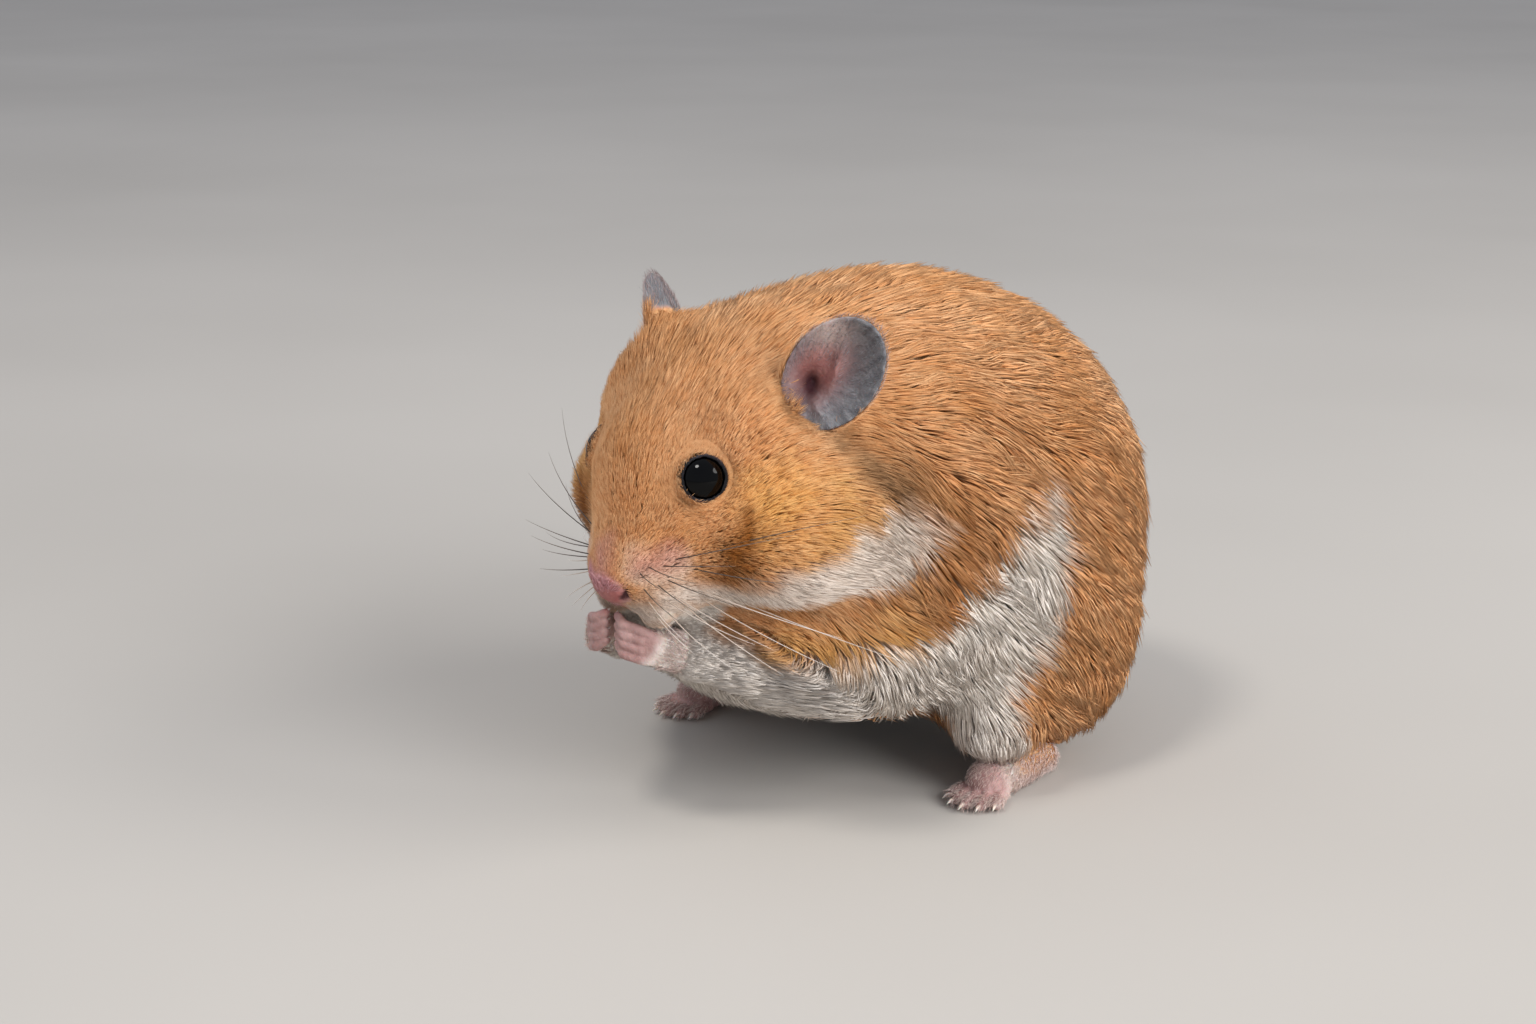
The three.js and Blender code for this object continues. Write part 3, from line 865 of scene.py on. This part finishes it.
# Fewer tufts grow low on the body, where the floor is near.
thinned = 1 - 0.6 * ramp(14 - face_middle[:, 2], 0, 6) * (face_middle[:, 1] > -30)
density = thinned * (1 - bareness(face_middle)) * (1 - beyond_coat(face_middle)) / (face_length * face_width)
density *= TUFT_BUDGET / (face_area * density * len(TUFT_FACES)).sum()
face_of, shares, roots = scattered(density)
count = len(roots)
root_normals = normals_at(roots)
length = face_length[face_of] * rng.uniform(0.72, 1.15, count)
level = rng.random(count)
underfur = rng.random(count) < 0.52 - 0.014 * length
height = (0.78 - 0.025 * length + (0.26 + 0.025 * length) * level) * (1 + 0.07 * wobble(roots, 5, 11))
height = np.where(underfur, 0.45 + 0.3 * level, height)
swirl = 0.2 * wobble(roots, 9, 12) + 0.12 * wobble(roots, 3.5, 13)
paths = grow(roots, root_normals, length, height, swirl * ramp(length, 2, 8) + rng.normal(0, 0.09, count))

# Neighbouring tufts lean together into locks.
lock_step = 0.6 + 0.11 * length
is_lock = rng.random(count) < 1 / (density[face_of] * lock_step**2)
locks = np.nonzero(is_lock)[0]
tree = KDTree(len(locks))
for k, i in enumerate(locks):
    tree.insert(roots[i], k)
tree.balance()
lock_of = locks[[tree.find(r)[1] for r in roots]]
pull = (0.08 + 0.05 * length)[:, None, None] * np.array([0, 0.2, 0.6, 1.0])[None, :, None]
close = far_from(roots, roots[lock_of]) < 3.5
paths = paths + np.where(close[:, None, None], np.minimum(pull, 0.42) * (paths[lock_of] - paths), 0)
vary = 0.15 + 0.32 * rng.random(count)[lock_of] + 0.38 * rng.random(count)
vary = np.where(underfur, 0.6 * vary, vary)
tick = (rng.random(count) < 0.06) * rng.uniform(0.4, 0.9, count) * ramp(length, 3, 6)
width = face_width[face_of] * rng.uniform(0.75, 1.25, count) * np.where(underfur, 3.1 - 0.14 * length, 1)


def tuft_points(paths, width):
    root, low, high, tip = (paths[:, k] for k in range(4))
    bend = (low + high) / 2
    along = unit(tip - root)
    across = unit(np.cross(along, normals_at(bend)))
    rise = np.cross(across, along)
    half = (width / 2)[:, None]
    ring = [bend + (across * math.cos(t) + rise * 0.6 * math.sin(t)) * half for t in RING_ANGLES]
    return np.stack([root, *ring, tip], axis=1)


ZONES = ["muzzle", "face", "brow", "cheek", "flank", "rump", "underside"]
HEAD_RINGS = (14, 20, 26, 38)  # the reaches at which muzzle, face, brow and cheek end
HEAD_BACK = 17  # where the cheek ends, in the head's frame
RUMP_FRONT = 12
UNDERSIDE_TOP = 16


def region_of(points):
    """Which piece of the coat a point of the skin belongs to, as its number in REGIONS."""
    q = in_head(points)
    rings = [(q[..., 1] < HEAD_BACK) & (head_reach(points) < reach) for reach in HEAD_RINGS]
    zone = np.select([*rings, points[..., 2] < UNDERSIDE_TOP, points[..., 1] > RUMP_FRONT],
                     [ZONES.index(name) for name in (*ZONES[:4], "underside", "rump")], ZONES.index("flank"))
    return 2 * zone + np.where(np.where(rings[-1], q[..., 0], points[..., 0]) > 0, 0, 1)


REGIONS = [f"coat_{zone}_{side}" for zone in ZONES for side in SIDES]


def unwrapped(faces):
    """Each corner's place on an unwrap of the given faces of the skin."""
    used, local = np.unique(faces, return_inverse=True)
    piece = new_mesh("unwrap", skin_points[used], [local.reshape(faces.shape)])
    piece.data.uv_layers.new(name="OFBake")
    bpy.context.view_layer.objects.active = piece
    piece.select_set(True)
    bpy.ops.object.mode_set(mode="EDIT")
    bpy.ops.mesh.select_all(action="SELECT")
    bpy.ops.uv.smart_project(angle_limit=math.radians(70), island_margin=0.01)
    bpy.ops.object.mode_set(mode="OBJECT")
    out = np.empty(len(piece.data.loops) * 2, np.float32)
    piece.data.uv_layers["OFBake"].data.foreach_get("uv", out)
    mesh = piece.data
    bpy.data.objects.remove(piece)
    bpy.data.meshes.remove(mesh)
    return out.reshape(-1, 3, 2)


pieces = {}


def coat_piece(name, faces, face_of, shares, paths, width, vary, tick, marks):
    """Tufts as one mesh, each a small patch at its root's place on an unwrap of its part of the skin."""
    place = np.full(len(skin_faces), -1)
    place[faces] = np.arange(len(faces))
    root_uv = (unwrapped(skin_faces[faces])[place[face_of]] * shares[:, :, None]).sum(axis=1)
    size, count = len(TUFT_ALONG), len(paths)
    points = tuft_points(paths, width).reshape(-1, 3)
    points[:, 2] = np.maximum(points[:, 2], LOWEST)
    corners = (TUFT_FACES + size * np.arange(count)[:, None, None]).reshape(-1, 3)
    piece = new_mesh(name, points, [corners])
    new_attribute(piece, "along", np.tile(TUFT_ALONG, count))
    for key, values in {"vary": vary, "tick": tick, **marks}.items():
        new_attribute(piece, key, np.repeat(np.broadcast_to(values, count), size))
    uvs = (root_uv[:, None, :] + PATCH_PLACES).reshape(-1, 2)
    layer = piece.data.uv_layers.new(name="OFBake")
    layer.data.foreach_set("uv", uvs[corners.ravel()].astype(np.float32).ravel())
    pieces[name] = piece


# Tufts that would cross the opening between the lids or lie over the ears' hollows are left out.
clear = np.ones(count, bool)
for side, sign in SIDES.items():
    _, aside, ahead = eye_place(paths[:, 1:], side)
    clear &= ~((aside < LID_RADIUS + 0.12) & (ahead > 0)).any(axis=1)
    u, w, v = ear_place(paths[:, 1:], sign)
    over = v - ear_cup(u, w)
    clear &= ~((np.hypot(u, w) < 0.82) & (over > -0.5) & (over < 2.4)).any(axis=1)
face_region = region_of(face_middle)
for number, name in enumerate(REGIONS):
    own = np.nonzero(clear & (face_region[face_of] == number))[0]
    coat_piece(name, np.nonzero(face_region == number)[0], face_of[own], shares[own], paths[own], width[own],
               vary[own], tick[own], markings(paths[own, 2]))


# Fine straight hair round the eyes, on the ears and lips, the backs of the hands and the feet.
FINE_STOPS = (0, 0.33, 0.67, 1)
FINE_ROOT_DEPTH = 0.05
FINE_SHARE = 1.0


def fine_hair(name, density, long, thick, flow_at, lift, marks_at=markings):
    """Density is hairs to the square millimetre, long a length or a function that gives one."""
    density = FINE_SHARE * density
    face_of, shares, roots = scattered(density)
    count = len(roots)
    normals = face_normal[face_of]
    flow = flow_at(roots)
    flow = unit(flow - (flow * normals).sum(-1, keepdims=True) * normals)
    flow = turned(flow, normals, rng.normal(0, 0.2, count))
    long = np.broadcast_to(long(roots) if callable(long) else long, count)
    size = (long * rng.uniform(0.6, 1.2, count))[:, None]
    stops = [roots + size * (t * flow + lift * t * (1.6 - 0.6 * t) * normals) for t in FINE_STOPS]
    stops[0] = stops[0] - FINE_ROOT_DEPTH * normals
    paths = np.stack(stops, axis=1)
    coat_piece(name, np.nonzero(density > 0)[0], face_of, shares, paths, thick * rng.uniform(0.7, 1.2, count),
               rng.random(count), 0, marks_at(roots))


def along_coat(points):
    return lie(points, normals_at(points))


for side, sign in SIDES.items():
    distance, aside, ahead = eye_place(face_middle, side)
    round_eye = (ahead > 0) & (distance < 5.6)
    round_eye = round_eye * ramp(aside, LID_RADIUS + 0.2, LID_RADIUS + 0.5) * (1 - ramp(aside, 4.6, 5.4))

    def lid_length(points, eye=EYES[side]):
        return 0.45 + 0.45 * (far_from(points, eye) - 2.6)

    fine_hair(f"hair_lid_{side}", 55 * round_eye, lid_length, 0.07, along_coat, 0.24)

    _, forward, rise, _ = ear_frame(sign)
    u, w, v = ear_place(face_middle, sign)
    edge, over = np.hypot(u, w), v - ear_cup(u, w)
    bare_ear = ear_share(face_middle)
    open_air = (edge < 1.05) & (np.abs(over) < 1.6) & (bare_ear > 0.4)
    hollow = over > -0.25
    before = (edge > 0.9) & (edge < 1.5) & (u > 0.1) & (w < 0.9) & (np.abs(over) < 3.5) & (bare_ear < 0.3)
    beside_canal = (edge < 0.9) & (bump(u, w, CANAL, (0.5, 0.5)) < 0.5)

    def upward(points, way=rise):
        return np.broadcast_to(way, points.shape)

    def up_before(points, way=rise - 0.1 * forward):
        return np.broadcast_to(way, points.shape)

    def outward(points, sign=sign, forward=forward, rise=rise):
        u, w, _ = ear_place(points, sign)
        return (u - CANAL[0])[:, None] * forward * EAR_WIDTH + (w - CANAL[1])[:, None] * rise * EAR_LENGTH

    def back_marks(points, sign=sign):
        grey = ramp(ear_place(points, sign)[1], -0.3, 0.2)
        return {"grey": 0.85 * grey, "pink": 0.15 * grey}

    fine_hair(f"hair_ear_front_{side}", 60 * before, 2.4, 0.08, up_before, 0.25)
    fine_hair(f"hair_ear_{side}", 12.0 * (open_air & hollow & beside_canal), 1.5, 0.035, outward, 0.06,
              lambda points: {"grey": 1})
    denser_below = 10 + 75 * (1 - ramp(w, -0.35, 0.25))
    fine_hair(f"hair_ear_back_{side}", (open_air & ~hollow) * denser_below, 1.7, 0.06, upward, 0.16,
              back_marks)

near_lips = far_from(face_middle, from_head([0, -12, -13])) < 6.5
lips = near_lips * ramp(coarse.sample(under_coat, face_middle), 0.1, 0.35) * (1 - bareness(face_middle))
fine_hair("hair_lips", 70 * lips, 1.1, 0.06, along_coat, 0.22)


# Hands are bare to the wrist but for a fine down, feet bare only under and on the toes.
def down_length(points):
    long = np.full(len(points), 1.4)
    for side, sign in SIDES.items():
        knuckles, ball = hand_point(sign, [3.5, -41, 27]), toes[side][2][0]
        long = np.minimum(long, 0.35 + 1.6 * ramp(far_from(points, knuckles), 3.5, 8.5))
        long = np.minimum(long, 0.5 + 1.8 * ramp(far_from(points, ball), 2.0, 7.0))
    return long


def down_flow(points):
    flow = np.full(points.shape, [0.0, 1.0, -0.5])
    for side, sign in SIDES.items():
        near_hand = far_from(points, hand_point(sign, PALM)) < 12
        flow[near_hand] = unit(hand_point(sign, PALM) - hand_point(sign, WRIST))
        near_foot = far_from(points, toes[side][2][0]) < 20
        flow[near_foot] = toes[side][2][2] - [0, 0, 0.5]
    return flow


furry = ramp(down_length(face_middle), 0.6, 1.4)
paws = beyond_coat(face_middle) * (face_middle[:, 2] > 1.0)
fine_hair("hair_paws", paws * 30 * furry, down_length, 0.085, down_flow, 0.3,
          lambda points: {"white": 0.9, "pink": 0.3})

lid, concha, canal, pale, streak = 0, 0, 0, 0, 0
for side, sign in SIDES.items():
    near = eye_place(skin_points, side)[0] < 4.2
    lid = np.maximum(lid, near * eye_opening(skin_points, side, 0.25, 0.7))
    u, w, v = ear_place(skin_points, sign)
    edge = np.hypot(u, w)
    front = ramp(v - ear_cup(u, w), -0.5, -0.2)
    concha = np.maximum(concha, front * np.minimum(1, 1.5 * bump(u, w, (0.32, -0.12), (0.5, 0.5))))
    # The canal's opening, painted dark as shade inside it.
    canal = np.maximum(canal, front * np.minimum(1, 1.3 * bump(u, w, CANAL, (0.26, 0.13), CANAL_TURN)))
    # A painted highlight on the upper front of the ear's hollow.
    pale = np.maximum(pale, front * bump(u, w, (0.66, 0.5), (0.45, 0.32)))
    turn = np.arctan2(w - CANAL[1], u - CANAL[0]) + 0.06 * np.sin(9 * edge)
    ripple = (np.sin(27 * turn) + 0.8 * np.sin(43 * turn + 1) + 0.6 * np.sin(71 * turn + 2)) / 4.8
    streak = streak + (edge < 1.2) * (np.abs(v) < 6) * front * ripple * ramp(edge, 0.2, 0.7)
# The nostrils, whose openings are painted dark as shade inside them.
hole = np.minimum(*[chain(skin_points, nostrils[s], NOSTRIL_RADII) for s in (1, -1)])
skin_marks = {"ear": ear_share(skin_points), "bare": bareness(skin_points), "lid": lid, "concha": concha,
              "hole": 1 - ramp(hole, -0.05, 0.3), "streak": streak, "canal": canal, "pale": pale}
for key, values in {**markings(skin_points), **skin_marks}.items():
    new_attribute(skin, key, values)


# ---------- Eyes, claws and whiskers ----------

def tube(path, radii, sides):
    """The rings of points of a tapering tube."""
    path = np.asarray(path, float)
    along = unit(np.gradient(path, axis=0))
    across = unit(np.cross(along, [0.3, 0.2, 1.0]))
    rise = np.cross(across, along)
    turns = np.arange(sides) * 2 * math.pi / sides
    return path[:, None] + np.asarray(radii)[:, None, None] * (
        across[:, None] * np.cos(turns)[None, :, None] + rise[:, None] * np.sin(turns)[None, :, None])


def joined_tubes(name, tubes, sides):
    """Closed tubes as one mesh, each given by its path and its radii."""
    points, quads, ends, along = [], [], [], []
    next_side = np.roll(np.arange(sides), -1)
    for path, radii in tubes:
        places = sum(len(p) for p in points) + np.arange(len(path) * sides).reshape(-1, sides)
        low, high = places[:-1], places[1:]
        points.append(tube(path, radii, sides).reshape(-1, 3))
        quads.append(np.stack([low, high, high[:, next_side], low[:, next_side]], axis=-1).reshape(-1, 4))
        ends += [places[-1, ::-1], places[0]]
        along.append(np.repeat(np.linspace(0, 1, len(path)), sides))
    piece = new_mesh(name, np.concatenate(points), [np.concatenate(quads), np.array(ends)])
    new_attribute(piece, "along", np.concatenate(along))
    return piece


eyes = {}
for side, sign in SIDES.items():
    mesh = bpy.data.meshes.new(f"eye_{side}_ball")
    shape = bmesh.new()
    bmesh.ops.create_uvsphere(shape, u_segments=64, v_segments=40, radius=EYE_RADIUS * MM)
    shape.to_mesh(mesh)
    shape.free()
    mesh.shade_smooth()
    turn = Vector((0, 0, 1)).rotation_difference(Vector(eye_way(sign)))
    mesh.transform(Matrix.Translation(Vector(EYES[side] * MM)) @ turn.to_matrix().to_4x4())
    eyes[side] = placed(f"eye_{side}_ball", mesh)

HAND_CLAW_RADII = [0.26, 0.2, 0.03]
FOOT_CLAW_RADII = [0.34, 0.24, 0.04]
claw_tubes = []
for side, sign in SIDES.items():
    for *_, tip, claw_tip in fingers[side]:
        way = unit(claw_tip - tip)
        bend = (tip + claw_tip) / 2 + [0, -0.12, 0.05]
        claw_tubes.append(([tip + 0.3 * way, bend, claw_tip], HAND_CLAW_RADII))
    for root, tip, way in toes[side]:
        top = tip + [0, 0, 0.15]
        path = [top + 0.3 * way, top + 1.1 * way, tip + 1.9 * way - [0, 0, 0.2]]
        claw_tubes.append((path, FOOT_CLAW_RADII))
claws = joined_tubes("claws", claw_tubes, 8)

WHISKER_ROWS = 4
WHISKERS_IN_ROW = 5
dark_whiskers, pale_whiskers = [], []
for side, sign in SIDES.items():
    for row in range(WHISKER_ROWS):
        for k in range(WHISKERS_IN_ROW):
            z = -6.8 - 1.7 * row + rng.normal(0, 0.2)
            turn = math.radians(30 + 13 * k + rng.normal(0, 2))
            root = reached([sign * 1.0, -5, z], [sign * math.sin(turn), -math.cos(turn), 0])
            long = 12 + 3.2 * k - 1.0 * row + rng.normal(0, 1.2)
            out = head_way([sign, -0.42 + 0.2 * k + rng.normal(0, 0.05),
                            0.3 - 0.32 * row + rng.normal(0, 0.05)])
            sag = np.array([0, 0, -1.0]) * rng.uniform(0.05, 0.16) + head_axes[1] * 0.22
            steps = np.linspace(0, 1, 9)
            path = [root - 0.4 * out + out * long * t + sag * long * t * t for t in steps]
            radii = 0.085 * (1 - steps) ** 0.8 + 0.012
            (dark_whiskers if row < 2 else pale_whiskers).append((path, radii))
whiskers = {"whiskers_dark": joined_tubes("whiskers_dark", dark_whiskers, 5),
            "whiskers_pale": joined_tubes("whiskers_pale", pale_whiskers, 5)}


# ---------- Materials ----------

def linear(code):
    channels = [int(code[i : i + 2], 16) / 255 for i in (1, 3, 5)]
    return [c / 12.92 if c <= 0.04045 else ((c + 0.055) / 1.055) ** 2.4 for c in channels] + [1]


class Nodes:
    """A material's nodes. Colours may be codes such as #c08040, or outputs of other nodes."""

    def __init__(self, name, **shader):
        self.material = bpy.data.materials.new(name)
        self.material.use_nodes = True
        self.tree = self.material.node_tree
        self.shader = self.tree.nodes["Principled BSDF"]
        for key, value in shader.items():
            self.shader.inputs[key.replace("_", " ")].default_value = value

    def put(self, socket, value):
        if isinstance(value, str):
            value = linear(value)
        if isinstance(value, bpy.types.NodeSocket):
            self.tree.links.new(value, socket)
        else:
            socket.default_value = value

    def node(self, kind, inputs, **settings):
        node = self.tree.nodes.new("ShaderNode" + kind)
        for key, value in settings.items():
            setattr(node, key, value)
        for key, value in inputs.items():
            self.put(node.inputs[key], value)
        return node.outputs

    def mix(self, share, low, high):
        # The colours' own sockets share their names with other kinds', so they go by number.
        return self.node("Mix", {0: share, 6: low, 7: high}, data_type="RGBA")[2]

    def centred(self, value):
        """A value around 0 as one around 0.5, held within 0 to 1."""
        return self.node("Math", {0: value, 1: 0.5}, operation="ADD", use_clamp=True)[0]

    def product(self, a, b):
        return self.node("Math", {0: a, 1: b}, operation="MULTIPLY")[0]

    def mask(self, name):
        return self.node("Attribute", {}, attribute_name=name)["Fac"]

    def noise(self, scale, detail, low=0.35, high=0.65):
        place = self.node("TexCoord", {})["Object"]
        grain = self.node("TexNoise", {"Vector": place, "Scale": scale, "Detail": detail})["Fac"]
        return self.node("MapRange", {"Value": grain, "From Min": low, "From Max": high})["Result"]

    def colour(self, value):
        self.put(self.shader.inputs["Base Color"], value)

    def bump(self, height, distance, strength):
        bump = self.node("Bump", {"Strength": strength, "Distance": distance, "Height": height})
        self.put(self.shader.inputs["Normal"], bump["Normal"])


def coat_colour(nodes, vary, along):
    """The coat's markings, from root to tip of each tuft."""
    ginger = nodes.mix(vary, "#c17e44", "#e8b682")
    gold = nodes.mix(vary, "#c98f47", "#f3c680")
    ginger = nodes.mix(nodes.noise(90, 3), ginger, nodes.mix(vary, "#cf8d55", "#f2c89a"))
    ginger = nodes.mix(nodes.mask("gold"), ginger, gold)
    ginger = nodes.mix(along, nodes.mix(0.25, ginger, "#a4673a"), ginger)
    brown = nodes.mix(vary, "#6a3508", "#b9722c")
    pale = nodes.mix(vary, "#e2d5c7", "#fdf6ee")
    pale = nodes.mix(along, nodes.mix(0.2, pale, "#b3a598"), pale)
    # The dark patch's colour, also used for the painted shade along the cheek's crease.
    dark = nodes.mix(vary, "#4a3322", "#a47a50")
    colour = nodes.mix(nodes.mask("brown"), ginger, brown)
    colour = nodes.mix(nodes.mask("white"), colour, pale)
    colour = nodes.mix(nodes.mask("dark"), colour, dark)
    colour = nodes.mix(nodes.mask("grey"), colour, nodes.mix(vary, "#55565a", "#b4b6ba"))
    colour = nodes.mix(nodes.mask("pink"), colour, nodes.mix(vary, "#b87c80", "#d6a5a8"))
    return nodes.mix(nodes.product(nodes.mask("tick"), along), colour, "#5b3b22")


fur = Nodes("fur", Roughness=0.6, Specular_IOR_Level=0.2)
fur.colour(coat_colour(fur, fur.mask("vary"), fur.mask("along")))
for piece in pieces.values():
    piece.data.materials.append(fur.material)

hide = Nodes("hide", Roughness=0.55, Specular_IOR_Level=0.35, Subsurface_Weight=0.12, Subsurface_Scale=0.001)
colour = coat_colour(hide, hide.noise(900, 4), 0.35)
flesh = hide.mix(hide.noise(500, 4), "#a07a75", "#bb9791")
nose = hide.mix(hide.noise(700, 4), "#9a5854", "#b57570")
flesh = hide.mix(hide.mask("pink"), flesh, nose)
colour = hide.mix(hide.mask("bare"), colour, flesh)
ear = hide.mix(hide.noise(350, 3), "#636971", "#7b8189")
streaks = hide.centred(hide.mask("streak"))
ear = hide.mix(streaks, hide.mix(0.75, ear, "#343236"), hide.mix(0.55, ear, "#a09d9c"))
ear = hide.mix(hide.mask("concha"), ear, hide.mix(hide.noise(400, 4), "#935f5b", "#ad7a74"))
# Painted highlight on the upper front of the ear's hollow.
ear = hide.mix(hide.mask("pale"), ear, "#c4aea6")
# Painted shade in the ear's canal.
ear = hide.mix(hide.mask("canal"), ear, "#45262a")
colour = hide.mix(hide.mask("ear"), colour, ear)
# Painted shade inside the nostrils.
colour = hide.mix(hide.mask("hole"), colour, "#43191c")
colour = hide.mix(hide.mask("lid"), colour, hide.mix(hide.noise(600, 3), "#0c0b0d", "#1f1c22"))
hide.colour(colour)
hide.bump(hide.noise(1800, 5), 0.0001, 0.6)
skin.data.materials.append(hide.material)

eye = Nodes("eye", Roughness=0.04, Specular_IOR_Level=0.16)
eye.colour(eye.mix(eye.noise(300, 3), "#010102", "#030303"))
for piece in eyes.values():
    piece.data.materials.append(eye.material)

horn = Nodes("claw", Roughness=0.35, Subsurface_Weight=0.2, Subsurface_Scale=0.001)
horn.colour(horn.mix(horn.mask("along"), "#c9a79c", "#efe3d6"))
claws.data.materials.append(horn.material)

for name, tones in (("whiskers_dark", ("#2a211c", "#8a7a6c")), ("whiskers_pale", ("#b59c86", "#f7efe6"))):
    whisker = Nodes(name, Roughness=0.35)
    whisker.colour(whisker.mix(whisker.mask("along"), *tones))
    whiskers[name].data.materials.append(whisker.material)

FLOOR_HALF = 4000
floor_points = FLOOR_HALF * np.array([[-1, -1, 0], [1, -1, 0], [1, 1, 0], [-1, 1, 0]])
floor = new_mesh("floor", floor_points, [np.array([[0, 1, 2, 3]])])
ground = Nodes("floor", Roughness=0.8)
ground.colour(ground.mix(ground.noise(4, 3), "#b5b0a9", "#bcb7b0"))
floor.data.materials.append(ground.material)


# ---------- Camera and light ----------

AZIMUTH, ELEVATION = math.radians(42), math.radians(15)
DISTANCE = 0.368
TARGET = Vector((-11.7, -6.95, 34)) * MM
back = Vector((math.sin(AZIMUTH) * math.cos(ELEVATION), -math.cos(AZIMUTH) * math.cos(ELEVATION),
               math.sin(ELEVATION)))
lens = bpy.data.cameras.new("camera")
lens.lens = 60
lens.sensor_width = 36
lens.clip_start = 0.01
camera = placed("camera", lens)
camera.location = TARGET + back * DISTANCE
camera.rotation_euler = back.to_track_quat("Z", "Y").to_euler()
bpy.context.scene.camera = camera


def softbox(name, place, size, power, tint):
    light = bpy.data.lights.new(name, "AREA")
    light.shape = "ELLIPSE"
    light.size, light.size_y = size
    light.energy = power
    light.color = tint
    lamp = placed(name, light)
    lamp.location = place
    lamp.visible_glossy = name != "fill"  # so that the eye shows only the key light
    lamp.rotation_euler = (Vector(place) - TARGET).to_track_quat("Z", "Y").to_euler()


softbox("key", (-0.05, -0.42, 0.88), (0.22, 0.22), 3.2, (1.0, 0.97, 0.93))
softbox("fill", (1.0, -0.12, 0.48), (0.7, 0.7), 9.8, (0.97, 0.98, 1.0))
softbox("rim", (0.75, 0.5, 0.65), (0.6, 0.4), 4.6, (1.0, 0.98, 0.95))
world = bpy.data.worlds.new("studio")
world.use_nodes = True
world.node_tree.nodes["Background"].inputs["Color"].default_value = (0.86, 0.9, 1.0, 1)
world.node_tree.nodes["Background"].inputs["Strength"].default_value = 0.55
bpy.context.scene.world = world
bpy.context.scene.view_settings.view_transform = "Standard"


# ---------- The body each piece is attached to, and the imported parts hidden ---

for piece in [skin, claws, *pieces.values(), *eyes.values(), *whiskers.values()]:
    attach(piece, "root")
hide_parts(*FLESH)
for side in SIDES:
    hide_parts(f"eye_{side}")
